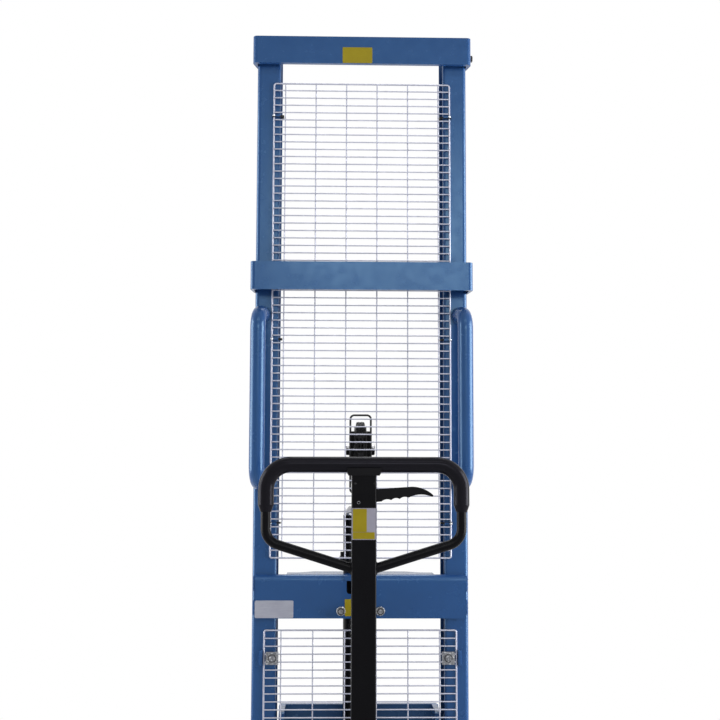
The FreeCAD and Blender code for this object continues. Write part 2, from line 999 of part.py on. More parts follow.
def pulley_guard():
    """Wire ring that keeps the chain on the pulley."""
    y = cylinder_y - cheek_depth / 2 - keeper_wire / 2
    x = keeper_half - keeper_wire / 2
    top = pulley_z + keeper_top_rise - keeper_wire / 2
    bottom = pulley_z + keeper_top_rise - keeper_height + keeper_wire / 2
    points = [V(x, y, bottom), V(x, y, top), V(-x, y, top), V(-x, y, bottom)]
    return closed_wire_ring(points, keeper_corner, keeper_wire / 2)


def chain_run(y, z0, z1):
    """Straight run of leaf chain with the waisted outline of its links."""
    links = max(2, round((z1 - z0) / chain_pitch))
    pitch = (z1 - z0) / links
    full = chain_plate_height / 2
    waist = chain_waist_height / 2
    x = -chain_width / 2
    near = []
    far = []
    for i in range(links):
        low = z0 + i * pitch
        for side, edges in ((-1, near), (1, far)):
            start = V(x, y + side * waist, low)
            crest = V(x, y + side * full, low + pitch / 2)
            end = V(x, y + side * waist, low + pitch)
            edges.append(Part.Arc(start, crest, end).toShape())
    bottom = Part.LineSegment(V(x, y - waist, z0), V(x, y + waist, z0)).toShape()
    top = Part.LineSegment(V(x, y - waist, z1), V(x, y + waist, z1)).toShape()
    wire = Part.Wire(Part.__sortEdges__(near + far + [bottom, top]))
    return Part.Face(wire).extrude(V(chain_width, 0, 0))


def chain_wrap():
    """Chain over the top half of the pulley."""
    half = chain_plate_height / 2
    outer = pulley_pitch_radius + half
    inner = pulley_pitch_radius - half
    ring = turned(
        [
            (inner, -chain_width / 2),
            (outer, -chain_width / 2),
            (outer, chain_width / 2),
            (inner, chain_width / 2),
        ],
        V(0, cylinder_y, pulley_z),
        X_AXIS,
    )
    upper = box(
        -chain_width, chain_width, cylinder_y - outer, cylinder_y + outer, pulley_z, pulley_z + outer
    )
    return ring.common(upper)


def rear_chain_anchor():
    """Block on the steering head plate that holds the end of the rear chain run."""
    front = chain_rear_y + chain_plate_height / 2 + chain_anchor_lip
    return box(
        -chain_anchor_half,
        chain_anchor_half,
        mast_back,
        front,
        rear_anchor_base,
        rear_anchor_base + chain_anchor_height,
    )


# Fork carriage

def carriage_frame():
    """Side plates with stub axles, joined by two cross bars in front of the mast."""
    side = side_plate(
        rectangle(mast_back + carriage_tail, bar_back, carriage_bottom, carriage_top),
        [carriage_corner, 0, 0, carriage_corner],
        carriage_inner,
        carriage_outer,
    )
    pieces = both_sides(side)
    stub_end = mast_half - channel_web - roller_side_gap
    for z in (roller_low_z, roller_high_z):
        start = V(carriage_inner, roller_centre_y, z)
        stub = rod(start, V(stub_end, roller_centre_y, z), roller_pin_radius)
        pieces += both_sides(stub)
    fork_half = fork_spread / 2
    low_top = carriage_bottom + lower_bar_height
    pieces.append(box(-fork_half, fork_half, bar_back, bar_front, carriage_bottom, low_top))
    high_base = carriage_top - upper_bar_height
    pieces.append(box(-carriage_outer, carriage_outer, bar_back, bar_front, high_base, carriage_top))
    pieces.append(
        box(
            -chain_anchor_half,
            chain_anchor_half,
            chain_front_y - chain_plate_height / 2,
            bar_back,
            front_anchor_base,
            front_anchor_base + chain_anchor_height,
        )
    )
    return fused(pieces)


def carriage_roller(side, z):
    """Mast roller on a stub axle."""
    half = roller_width / 2
    bore = roller_pin_radius + running_gap
    right = [
        (bore, half),
        (roller_radius - roller_rim_chamfer, half),
        (roller_radius, half - roller_rim_chamfer),
    ]
    left = [(radius, -along) for radius, along in reversed(right)]
    return turned(right + left, V(side * roller_centre_x, roller_centre_y, z), X_AXIS)


def fork_blade_block(inset):
    """Outer block of a fork, or its hollow when inset by the wall."""
    half = fork_width / 2 - inset
    tip_half = fork_tip_half - inset
    tip = fork_tip - inset
    shoulder = fork_tip - fork_tip_length
    centre = fork_centre_x
    corner = fork_corner - inset
    plan = plan_plate(
        [
            (centre - half, bar_front),
            (centre + half, bar_front),
            (centre + half, shoulder),
            (centre + tip_half, tip),
            (centre - tip_half, tip),
            (centre - half, shoulder),
        ],
        [0, 0, fork_shoulder_radius, corner, corner, fork_shoulder_radius],
        fork_top - fork_depth,
        fork_top,
    )
    top = fork_top - inset
    profile = side_plate(
        [
            (bar_front, fork_top - fork_depth),
            (bar_front, top),
            (shoulder + fork_ramp_start, top),
            (fork_tip, top - fork_tip_drop),
            (fork_tip, fork_top - fork_depth),
        ],
        [0, 0, fork_ramp_radius, 0, 0],
        centre - fork_width,
        centre + fork_width,
    )
    return plan.common(profile)


def fork():
    """Right fork: an inverted channel with a tapered tip and an upright shank."""
    hollow = fork_blade_block(fork_wall)
    x0 = fork_centre_x - fork_width / 2
    x1 = fork_centre_x + fork_width / 2
    shank = front_plate(
        rectangle(x0, x1, fork_top - fork_depth, fork_shank_top),
        [0, 0, fork_shank_corner, fork_shank_corner],
        bar_front,
        fork_face,
    )
    passage = box(
        x0 + fork_wall,
        x1 - fork_wall,
        bar_front,
        fork_face,
        fork_top - fork_depth,
        fork_top - fork_wall,
    )
    return fused([fork_blade_block(0), shank]).cut(Part.makeCompound([hollow, passage]))


def load_roller():
    """Right load roller in the nose of its leg."""
    half = load_roller_width / 2
    bore = load_axle_radius + running_gap
    hub = load_axle_radius + load_hub_wall
    rim = load_roller_radius - load_rim_wall
    face = half - load_face_recess
    right = [
        (bore, half),
        (hub, half),
        (hub + load_face_slope, face),
        (rim - load_rim_slope, face),
        (rim, half),
        (load_roller_radius - load_rim_chamfer, half),
        (load_roller_radius, half - load_rim_chamfer),
    ]
    left = [(radius, -along) for radius, along in reversed(right)]
    return turned(right + left, V(leg_centre_x, load_axle_y, load_roller_radius), X_AXIS)


def load_roller_axles():
    """Axles through both legs."""
    half = leg_width / 2
    axle = rod(
        V(leg_centre_x - half, load_axle_y, load_roller_radius),
        V(leg_centre_x + half, load_axle_y, load_roller_radius),
        load_axle_radius,
    )
    return Part.makeCompound(both_sides(axle))


# Steered wheels and hand pump

def wheel_fork():
    """Casting between the steered wheels, with the flange under the steering head."""
    half = fork_neck_depth / 2
    neck = side_plate(
        [
            (king_y - half, axle_z),
            (king_y - half, neck_top),
            (king_y + half, neck_top),
            (king_y + half, axle_z),
        ],
        0,
        -fork_neck_half,
        fork_neck_half,
    )
    left = V(-fork_neck_half, king_y, axle_z)
    right = V(fork_neck_half, king_y, axle_z)
    eye = rod(left, right, half)
    flange = Part.makeCylinder(fork_flange_radius, fork_flange_height, V(0, king_y, neck_top))
    bore = rod(left, right, wheel_axle_radius)
    return fused([neck, eye, flange]).cut(bore)


def king_pin():
    """Pin from the wheel fork through the steering head into the pump."""
    base = neck_top + fork_flange_height
    return Part.makeCylinder(king_pin_radius, pump_base + king_pin_seat - base, V(0, king_y, base))


def thrust_bearing():
    """Bearing ring on top of the steering head."""
    inner = king_pin_radius + weld_touch
    top = bearing_height + slide_gap
    middle = (slide_gap + top) / 2
    groove = bearing_radius - bearing_groove_depth
    mouth = bearing_groove_half + bearing_groove_flare
    profile = [
        (inner, slide_gap),
        (bearing_radius, slide_gap),
        (bearing_radius, middle - mouth),
        (groove, middle - bearing_groove_half),
        (groove, middle + bearing_groove_half),
        (bearing_radius, middle + mouth),
        (bearing_radius, top),
        (inner, top),
    ]
    return turned(profile, V(0, king_y, head_top), Z_AXIS)


def wheel_axle():
    """Axle through the wheel fork and both steered wheels."""
    reach = wheel_outer + wheel_axle_overhang
    return rod(V(-reach, king_y, axle_z), V(reach, king_y, axle_z), wheel_axle_radius)


def steer_hub(side):
    """Dished wheel centre."""
    half = steer_width / 2
    web = half - steer_hub_recess
    rim = steer_hub_radius - steer_rim_wall
    bore = wheel_axle_radius + running_gap
    right = [
        (bore, half),
        (steer_hub_boss, half),
        (steer_hub_boss + steer_web_slope, web),
        (rim - steer_web_slope, web),
        (rim, half - steer_rim_inset),
        (steer_hub_radius, half - steer_rim_inset),
    ]
    left = [(radius, -along) for radius, along in reversed(right)]
    return turned(right + left, V(side * (wheel_inner + half), king_y, axle_z), X_AXIS)


def steer_tyre(side):
    """Tread ring cast on a wheel centre."""
    half = steer_width / 2
    right = [
        (steer_hub_radius, half - steer_rim_inset),
        (steer_radius - tread_side, half),
        (steer_radius - tread_round, half - tread_draft),
        (steer_radius, half - tread_edge),
    ]
    left = [(radius, -along) for radius, along in reversed(right)]
    return turned(right + left, V(side * (wheel_inner + half), king_y, axle_z), X_AXIS)


def pump_body():
    """Pump casting with pivot ears, plunger guide and oil tank."""
    flange = plan_plate(
        rectangle(-pump_half_width, pump_half_width, king_y - pump_rear, king_y + pump_front),
        pump_corner,
        pump_base,
        pump_top,
    )
    ear = side_plate(
        [
            (pivot_y - ear_radius, pump_top),
            (pivot_y - ear_radius, pivot_z + ear_radius),
            (pivot_y + ear_radius, pivot_z + ear_radius),
            (pivot_y + ear_radius + ear_spread, pump_top),
        ],
        [0, ear_radius - ear_top_flat, ear_radius - ear_top_flat, 0],
        ear_inner,
        ear_outer,
    )
    guide = Part.makeCylinder(plunger_guide_radius, plunger_guide_height, V(0, plunger_y, pump_top))
    tank_y = king_y + tank_forward
    tank = turned(
        [
            (0, 0),
            (tank_radius, 0),
            (tank_radius, tank_height - tank_chamfer),
            (tank_radius - tank_chamfer, tank_height),
            (tank_cap_radius, tank_height),
            (tank_cap_radius, tank_height + tank_cap_height),
            (0, tank_height + tank_cap_height),
        ],
        V(0, tank_y, pump_top),
        Z_AXIS,
    )
    port_z = pump_base + pump_flange_height / 2
    port_start = V(0, king_y + pump_front, port_z)
    port_end = V(0, king_y + pump_front + port_length, port_z)
    port = rod(port_start, port_end, port_radius)
    casting = fused([flange, guide, tank, port] + both_sides(ear))
    bore_floor = pump_base + plunger_bore_floor
    plunger_bore = Part.makeCylinder(
        plunger_radius + running_gap, spring_base - bore_floor, V(0, plunger_y, bore_floor)
    )
    pin_seat = Part.makeCylinder(king_pin_radius, king_pin_seat, V(0, king_y, pump_base))
    left = V(-ear_outer, pivot_y, pivot_z)
    pivot_bore = rod(left, V(ear_outer, pivot_y, pivot_z), pivot_radius)
    drilling = rod(V(0, king_y + pump_front - port_length, port_z), port_end, port_bore_radius)
    return casting.cut(plunger_bore).cut(pin_seat).cut(pivot_bore).cut(drilling)


def tiller_pivot_pin():
    """Pin through the pump ears and the tiller arms."""
    reach = tiller_arm_outer + pivot_pin_overhang
    return rod(V(-reach, pivot_y, pivot_z), V(reach, pivot_y, pivot_z), pivot_radius)


def pump_plunger():
    """Plunger with the cap that the pressure roller pushes."""
    base = spring_base - plunger_sunk
    shaft = Part.makeCylinder(plunger_radius, cap_top - base, V(0, plunger_y, base))
    cap = Part.makeCylinder(
        plunger_cap_radius, plunger_cap_height, V(0, plunger_y, cap_top - plunger_cap_height)
    )
    return fused([shaft, cap])


def helix_point(turn, z0, pitch):
    """Point and direction on the spring's centre line after so many turns."""
    angle = 2 * math.pi * turn
    point = V(
        spring_radius * math.cos(angle), plunger_y + spring_radius * math.sin(angle), z0 + pitch * turn
    )
    slope = pitch / (2 * math.pi)
    along = V(-spring_radius * math.sin(angle), spring_radius * math.cos(angle), slope)
    return point, along.normalize()


def biarc(start, start_along, end, end_along):
    """Two tangent arcs from one point and direction to another."""
    chord = end - start
    both = start_along + end_along
    a = 2 * (1 - start_along.dot(end_along))
    b = chord.dot(both)
    reach = (-b + math.sqrt(b * b + a * chord.dot(chord))) / a
    knee_a = start + start_along * reach
    knee_b = end - end_along * reach
    middle = (knee_a + knee_b) * 0.5
    return [tangent_arc(start, knee_a, middle), tangent_arc(middle, knee_b, end)]


def tangent_arc(start, knee, end):
    """Arc that touches start to knee and knee to end."""
    half = (start - knee).getAngle(end - knee) / 2
    radius = (start - knee).Length * math.tan(half)
    towards = ((start + end) * 0.5 - knee).normalize()
    crest = knee + towards * (radius / math.sin(half) - radius)
    return Part.Arc(start, crest, end).toShape()


def plunger_spring():
    """Return spring round the plunger, one unbroken wire."""
    z0 = spring_base + spring_wire_radius + slide_gap
    z1 = spring_base + spring_length - spring_wire_radius - slide_gap
    pitch = (z1 - z0) / spring_turns
    edges = []
    for step in range(spring_steps * spring_turns):
        start, start_along = helix_point(step / spring_steps, z0, pitch)
        end, end_along = helix_point((step + 1) / spring_steps, z0, pitch)
        edges += biarc(start, start_along, end, end_along)
    first, along = helix_point(0, z0, pitch)
    circle = Part.Circle(first, along, spring_wire_radius)
    print("spring gap between turns", round(pitch - 2 * spring_wire_radius, 2))
    return Part.Wire(edges).makePipeShell([Part.Wire(circle.toShape())], True, False)


# Tiller

def tiller_base():
    """Yoke with two arms on the pivot pin, the roller eyes and the column socket."""
    bridge_z = pivot_z + bridge_rise
    half = bridge_half_depth
    inner = tiller_arm_inner
    outer = tiller_arm_outer
    bridge_top = bridge_z + bridge_height
    arm = side_plate(rectangle(pivot_y - half, pivot_y + half, pivot_z, bridge_top), 0, inner, outer)
    eye = rod(V(inner, pivot_y, pivot_z), V(outer, pivot_y, pivot_z), tiller_eye_radius)
    small = rod(V(inner, press_y, press_z), V(outer, press_y, press_z), tiller_eye_small)
    off_y = tiller_link_half * math.sin(swing_half)
    off_z = tiller_link_half * math.cos(swing_half)
    link = side_plate(
        [
            (press_y + off_y, press_z + off_z),
            (pivot_y + off_y, pivot_z + off_z),
            (pivot_y - off_y, pivot_z - off_z),
            (press_y - off_y, press_z - off_z),
        ],
        0,
        inner,
        outer,
    )
    arm_piece = fused([arm, eye, small, link])
    bridge = box(-outer, outer, pivot_y - half, pivot_y + half, bridge_z, bridge_top)
    x = column_width / 2 + socket_wall
    y = column_depth / 2 + socket_wall
    socket = plan_plate(
        rectangle(-x, x, pivot_y - y, pivot_y + y),
        column_corner + socket_wall,
        bridge_top,
        bridge_top + socket_height,
    )
    well = column_block(0, column_base, column_base + socket_height)
    rod_hole = Part.makeCylinder(
        release_rod_radius + slide_gap, bridge_height, V(0, pivot_y, bridge_z)
    )
    left = V(-outer, pivot_y, pivot_z)
    pivot_bore = rod(left, V(outer, pivot_y, pivot_z), pivot_radius + running_gap)
    pin_bore = rod(V(-outer, press_y, press_z), V(outer, press_y, press_z), press_pin_radius)
    yoke = fused([bridge, socket] + both_sides(arm_piece))
    return yoke.cut(Part.makeCompound([well, rod_hole])).cut(pivot_bore).cut(pin_bore)


def column_block(inset, z0, z1):
    """Outer block of the column, or its hollow when inset by the wall."""
    x = column_width / 2 - inset
    y = column_depth / 2 - inset
    return plan_plate(rectangle(-x, x, pivot_y - y, pivot_y + y), column_corner - inset, z0, z1)


def tiller_column():
    """Rectangular tube with a slot for the lever and holes for its pin."""
    hollow = column_block(column_wall, column_base, column_top)
    tube = column_block(0, column_base, column_top).cut(hollow)
    slot = box(
        column_width / 2 - 2 * column_wall,
        column_width / 2 + column_wall,
        pivot_y - lever_thickness / 2 - lever_side_gap,
        pivot_y + lever_thickness / 2 + lever_side_gap,
        lever_z - lever_slot_half,
        lever_z + lever_slot_half,
    )
    half = column_depth / 2
    pin_hole = rod(
        V(lever_pin_x, pivot_y - half, lever_z), V(lever_pin_x, pivot_y + half, lever_z), lever_pin_radius
    )
    return tube.cut(slot).cut(pin_hole)


def loop_points():
    """Centre line of the hand loop, from its right root round to its left one."""
    right = [
        V(column_width / 2 - loop_root_inset, pivot_y, loop_root_z),
        V(loop_half, pivot_y, loop_shoulder_z),
        V(loop_half, pivot_y, grip_z),
    ]
    return right + [V(-p.x, p.y, p.z) for p in reversed(right)]


def tiller_loop():
    """Bent tube of the hand loop, welded to the column sides."""
    points = loop_points()
    radii = [0, loop_lower_bend, loop_corner, loop_corner, loop_lower_bend, 0]
    return bent_tube(points, radii, loop_tube_radius).cut(column_block(0, column_base, column_top))


def tiller_grip():
    """Thick sleeve on the top of the loop, tapered at both ends."""
    end_z = grip_end_z + grip_taper
    points = [
        V(loop_half, pivot_y, end_z),
        V(loop_half, pivot_y, grip_z),
        V(-loop_half, pivot_y, grip_z),
        V(-loop_half, pivot_y, end_z),
    ]
    sleeve = bent_tube(points, loop_corner, grip_radius)
    bore = bent_tube(points, loop_corner, loop_tube_radius)
    ends = []
    for side in (-1, 1):
        profile = [
            (loop_tube_radius, 0),
            (loop_tube_radius + grip_lip, 0),
            (grip_radius, grip_taper),
            (loop_tube_radius, grip_taper),
        ]
        ends.append(turned(profile, V(side * loop_half, pivot_y, grip_end_z), Z_AXIS))
    return fused([sleeve.cut(bore)] + ends)


def tiller_collar():
    """Saddle between the column and the grip, with cut lower corners."""
    top = column_top + collar_height
    shoulder = column_top + collar_chamfer
    block = front_plate(
        [
            (-collar_foot, column_top),
            (collar_foot, column_top),
            (collar_half, shoulder),
            (collar_half, top),
            (-collar_half, top),
            (-collar_half, shoulder),
        ],
        0,
        pivot_y - collar_half_depth,
        pivot_y + collar_half_depth,
    )
    groove = rod(V(-collar_half, pivot_y, grip_z), V(collar_half, pivot_y, grip_z), grip_radius)
    return block.cut(groove)


def pressure_roller():
    """Roller that pushes the plunger cap."""
    half = press_roller_width / 2
    bore = press_pin_radius + running_gap
    chamfer = press_roller_chamfer
    right = [(bore, half), (press_roller_radius - chamfer, half), (press_roller_radius, half - chamfer)]
    left = [(radius, -along) for radius, along in reversed(right)]
    return turned(right + left, V(0, press_y, press_z), X_AXIS)


def tiller_pins():
    """Pins of the pressure roller and of the release lever."""
    outer = tiller_arm_outer + press_pin_overhang
    press = rod(V(-outer, press_y, press_z), V(outer, press_y, press_z), press_pin_radius)
    half = column_depth / 2 + lever_pin_overhang
    lever = rod(
        V(lever_pin_x, pivot_y - half, lever_z), V(lever_pin_x, pivot_y + half, lever_z), lever_pin_radius
    )
    return Part.makeCompound([press, lever])


def lever_point(offset):
    """Point on the near face of the release lever."""
    return V(lever_pin_x + offset[0], pivot_y - lever_thickness / 2, lever_z + offset[1])


def lever_line(start, end):
    """Straight edge of the lever."""
    return Part.LineSegment(lever_point(start), lever_point(end)).toShape()


def lever_arc(start, middle, end):
    """Curved edge of the lever."""
    return Part.Arc(lever_point(start), lever_point(middle), lever_point(end)).toShape()


def release_lever():
    """Finger lever with a scalloped underside and a rounded, hooked tip."""
    edges = [
        lever_line(lever_tail_top, lever_top_end),
        lever_arc(lever_top_end, lever_nose_crest, lever_nose),
        lever_arc(lever_nose, lever_nose_low, lever_nose_under),
        lever_arc(lever_nose_under, lever_hook_crest, lever_cusps[0]),
    ]
    for cusp, following in zip(lever_cusps, lever_cusps[1:]):
        middle_z = (cusp[1] + following[1]) / 2
        crest = ((cusp[0] + following[0]) / 2, middle_z + lever_scallop_depth)
        edges.append(lever_arc(cusp, crest, following))
    edges.append(lever_line(lever_cusps[-1], lever_root_low))
    edges.append(lever_line(lever_root_low, lever_heel))
    edges.append(lever_line(lever_heel, lever_tail_low))
    edges.append(lever_line(lever_tail_low, lever_tail_top))
    plate = Part.Face(Part.Wire(edges)).extrude(V(0, lever_thickness, 0))
    centre = lever_point((0, 0))
    bore = Part.makeCylinder(lever_pin_radius + running_gap, lever_thickness, centre, Y_AXIS)
    return plate.cut(bore)


def release_rod():
    """Pull rod inside the column, guided by the tiller base."""
    base = pivot_z + bridge_rise - release_rod_reach
    top = lever_z + lever_tail_low[1] - release_rod_drop
    return Part.makeCylinder(release_rod_radius, top - base, V(0, pivot_y, base))


mast_right = mast_channel()
leg_right = leg()
handle_right = push_handle()
fork_right = fork()
load_roller_right = load_roller()

nodes = {
    "mast_left": mirrored(mast_right),
    "mast_right": mast_right,
    "top_beam": top_beam(),
    "mid_beam": mid_beam(),
    "cross_member": cross_member(),
    "base_plate": base_plate(),
    "steering_head": steering_head(),
    "leg_left": mirrored(leg_right),
    "leg_right": leg_right,
    "push_handle_left": mirrored(handle_right),
    "push_handle_right": handle_right,
    "upper_guard": wire_guard(upper_guard_half, upper_guard_top, upper_guard_rows),
    "lower_guard": wire_guard(lower_guard_half, lower_guard_top, lower_guard_rows),
    "guard_clips": guard_clips(),
    "guard_clamps": guard_clamps(),
    "cylinder_barrel": cylinder_barrel(),
    "cylinder_gland": cylinder_gland(),
    "cylinder_clamp": cylinder_clamp(),
    "cylinder_saddle": cylinder_saddle(),
    "rear_chain_anchor": rear_chain_anchor(),
    "chain_rear": chain_run(chain_rear_y, rear_anchor_base + chain_anchor_height, pulley_z),
    "load_roller_axles": load_roller_axles(),
    "ram_rod": ram_rod(),
    "ram_head": ram_head(),
    "pulley_pin": pulley_pin(),
    "pulley_guard": pulley_guard(),
    "chain_wrap": chain_wrap(),
    "chain_pulley": chain_pulley(),
    "carriage_frame": carriage_frame(),
    "fork_left": mirrored(fork_right),
    "fork_right": fork_right,
    "chain_front": chain_run(chain_front_y, front_anchor_base + chain_anchor_height, pulley_z),
    "mast_roller_low_left": carriage_roller(-1, roller_low_z),
    "mast_roller_low_right": carriage_roller(1, roller_low_z),
    "mast_roller_high_left": carriage_roller(-1, roller_high_z),
    "mast_roller_high_right": carriage_roller(1, roller_high_z),
    "load_roller_left": mirrored(load_roller_right),
    "load_roller_right": load_roller_right,
    "king_pin": king_pin(),
    "wheel_fork": wheel_fork(),
    "thrust_bearing": thrust_bearing(),
    "pump_body": pump_body(),
    "wheel_axle": wheel_axle(),
    "steer_hub_left": steer_hub(-1),
    "steer_hub_right": steer_hub(1),
    "steer_tyre_left": steer_tyre(-1),
    "steer_tyre_right": steer_tyre(1),
    "pump_plunger": pump_plunger(),
    "plunger_spring": plunger_spring(),
    "tiller_base": tiller_base(),
    "tiller_column": tiller_column(),
    "tiller_loop": tiller_loop(),
    "tiller_grip": tiller_grip(),
    "tiller_collar": tiller_collar(),
    "tiller_pivot_pin": tiller_pivot_pin(),
    "pressure_roller": pressure_roller(),
    "tiller_pins": tiller_pins(),
    "release_lever": release_lever(),
    "release_rod": release_rod(),
}

os.makedirs("parts", exist_ok=True)
for name, shape in nodes.items():
    shape.exportStep(os.path.join("parts", name + ".step"))
    print(name, len(shape.Solids), "solids", round(shape.Volume / 1000), "cm3", shape.isValid())
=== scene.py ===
"""Hand pallet stacker in its working finish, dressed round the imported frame.

Metres. +X is the operator's right, +Y points to the fork tips, +Z is up.
"""
import json
import math
import bmesh
import bpy
from mathutils import Matrix, Vector


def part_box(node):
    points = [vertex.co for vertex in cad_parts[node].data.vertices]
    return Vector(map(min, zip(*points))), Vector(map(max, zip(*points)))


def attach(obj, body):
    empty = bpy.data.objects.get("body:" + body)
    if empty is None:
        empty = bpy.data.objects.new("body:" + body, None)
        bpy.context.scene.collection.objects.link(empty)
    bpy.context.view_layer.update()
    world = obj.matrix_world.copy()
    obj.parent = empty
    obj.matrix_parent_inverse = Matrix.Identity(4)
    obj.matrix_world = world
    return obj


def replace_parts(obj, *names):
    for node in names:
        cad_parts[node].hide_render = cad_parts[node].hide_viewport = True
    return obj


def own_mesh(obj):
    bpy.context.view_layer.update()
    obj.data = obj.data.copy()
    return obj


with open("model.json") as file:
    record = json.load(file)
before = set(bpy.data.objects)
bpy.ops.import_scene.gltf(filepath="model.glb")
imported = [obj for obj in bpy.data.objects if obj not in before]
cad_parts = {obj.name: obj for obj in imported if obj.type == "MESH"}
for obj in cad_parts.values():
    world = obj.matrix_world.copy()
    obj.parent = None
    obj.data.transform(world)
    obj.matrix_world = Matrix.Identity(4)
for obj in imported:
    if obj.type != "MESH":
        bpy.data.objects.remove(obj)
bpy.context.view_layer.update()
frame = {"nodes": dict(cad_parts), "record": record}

X_AXIS = Vector((1, 0, 0))
Y_AXIS = Vector((0, 1, 0))
Z_AXIS = Vector((0, 0, 1))
SIDES = (-1, 1)
FULL_TURN = 2 * math.pi
HALF_TURN = math.pi
QUARTER_TURN = math.pi / 2

# Camera at the photograph's angle
camera_place = Vector((-0.067, -3.311, 0.967))
camera_yaw = math.radians(1.52)
camera_pitch = math.radians(5.49)
camera_roll = math.radians(0.15)
camera_lens = 63.15
sensor_width = 36.0
frame_pixels = 720
shift_pixels = (-4.8, -0.8)

# Floor, surround and lamps; a lamp has its place, level, width and height
floor_radius = 1.9
floor_sides = 128
floor_colour = (0.80, 0.80, 0.81, 1)
floor_roughness = 0.8
floor_fade = (1.10, 1.75)
white_surround = (1, 1, 1, 1)
white_level = 1.0
ambient_level = 0.30
lamp_target = Vector((0, -0.42, 1.0))
lamps = {
    "right_soft_box": (Vector((2.85, -0.95, 1.4)), 2.00, 2.0, 2.4),
    "left_soft_box": (Vector((-2.7, -0.45, 1.4)), 1.30, 1.8, 2.4),
    "front_soft_box": (Vector((0.4, -4.0, 2.20)), 0.16, 1.6, 0.8),
    "high_strip": (Vector((0.1, -3.4, 4.3)), 0.10, 2.4, 0.40),
    "top_soft_box": (Vector((0.0, 0.9, 3.9)), 0.52, 2.2, 1.6),
}

# Boxes of the CAD pieces that carry the small parts
column_lo, column_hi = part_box("tiller_column")
top_lo, top_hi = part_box("top_beam")
mid_lo, mid_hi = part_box("mid_beam")
cross_lo, cross_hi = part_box("cross_member")
mast_lo, mast_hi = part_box("mast_right")
handle_lo, handle_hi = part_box("push_handle_right")
leg_lo, leg_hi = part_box("leg_right")
head_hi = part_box("steering_head")[1]
pump_lo, pump_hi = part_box("pump_body")
king_lo, king_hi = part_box("king_pin")
base_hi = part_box("tiller_base")[1]
clamp_lo, clamp_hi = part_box("guard_clamps")
carriage_lo, carriage_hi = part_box("carriage_frame")
fork_lo, fork_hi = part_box("fork_right")
front_lo, front_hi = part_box("chain_front")
rear_lo, rear_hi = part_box("chain_rear")
spring_lo, spring_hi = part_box("plunger_spring")
pulley_lo, pulley_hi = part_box("chain_pulley")
pin_lo, pin_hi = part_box("pulley_pin")
axle_lo, axle_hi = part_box("wheel_axle")
pivot_lo, pivot_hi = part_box("tiller_pivot_pin")
load_lo, load_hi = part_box("load_roller_right")
barrel_lo, barrel_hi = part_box("cylinder_barrel")
anchor_lo, anchor_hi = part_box("rear_chain_anchor")
hub_lo, hub_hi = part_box("steer_hub_right")
clip_lo, clip_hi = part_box("guard_clips")
thrust_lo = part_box("thrust_bearing")[0]


def middle(lo, hi):
    """Middle of a box, or halfway between two points."""
    return (lo + hi) / 2


# Shader nodes

def feed(tree, value, socket):
    """Gives a socket a number or a colour, or links it to another socket."""
    if isinstance(value, (int, float, tuple)):
        socket.default_value = value
    else:
        tree.links.new(value, socket)


def add_noise(tree, vector, scale, detail):
    """Noise texture on a vector; the scale is a number or a socket."""
    noise = tree.nodes.new("ShaderNodeTexNoise")
    noise.inputs["Detail"].default_value = detail
    tree.links.new(vector, noise.inputs["Vector"])
    feed(tree, scale, noise.inputs["Scale"])
    return noise.outputs["Fac"]


def add_range(tree, value, low, high, to_low=0.0, to_high=1.0):
    """Value taken from one range to another; each end is a number or a socket."""
    ramp = tree.nodes.new("ShaderNodeMapRange")
    ramp.interpolation_type = "SMOOTHSTEP"
    tree.links.new(value, ramp.inputs["Value"])
    ends = (("From Min", low), ("From Max", high), ("To Min", to_low), ("To Max", to_high))
    for label, end in ends:
        feed(tree, end, ramp.inputs[label])
    return ramp.outputs["Result"]


def add_mix(tree, factor, first, second):
    """Mix of two colours by a factor."""
    mix = tree.nodes.new("ShaderNodeMix")
    mix.data_type = "RGBA"
    tree.links.new(factor, mix.inputs["Factor"])
    for label, colour in (("A", first), ("B", second)):
        socket = [s for s in mix.inputs if s.name == label and s.type == "RGBA"][0]
        feed(tree, colour, socket)
    return [s for s in mix.outputs if s.type == "RGBA"][0]


def add_math(tree, operation, first, second):
    """Sum, product or greater of two values."""
    node = tree.nodes.new("ShaderNodeMath")
    node.operation = operation
    tree.links.new(first, node.inputs[0])
    tree.links.new(second, node.inputs[1])
    return node.outputs[0]


def mix_shaders(tree, factor, first, second, output):
    """Mix of two shaders by a factor, led to the output of the tree."""
    mix = tree.nodes.new("ShaderNodeMixShader")
    tree.links.new(factor, mix.inputs["Fac"])
    tree.links.new(first.outputs[0], mix.inputs[1])
    tree.links.new(second.outputs[0], mix.inputs[2])
    tree.links.new(mix.outputs[0], tree.nodes[output].inputs["Surface"])


# Shader groups shared by the finishes

cloud_detail = 4.0
cloud_band = (0.35, 0.65)
smear_scale = 46.0
smear_detail = 5.0
smear_band = (0.3, 0.7)
grain_detail = 2.0
wave_detail = 1.0
streak_scale = 1.0
streak_detail = 6.0
relief_depth = 0.001


def new_group(name, inputs, outputs):
    """Empty shader group with its sockets."""
    group = bpy.data.node_groups.new(name, "ShaderNodeTree")
    for label, kind in inputs:
        group.interface.new_socket(label, in_out="INPUT", socket_type="NodeSocket" + kind)
    for label, kind in outputs:
        group.interface.new_socket(label, in_out="OUTPUT", socket_type="NodeSocket" + kind)
    source = group.nodes.new("NodeGroupInput").outputs
    sink = group.nodes.new("NodeGroupOutput").inputs
    return group, source, sink


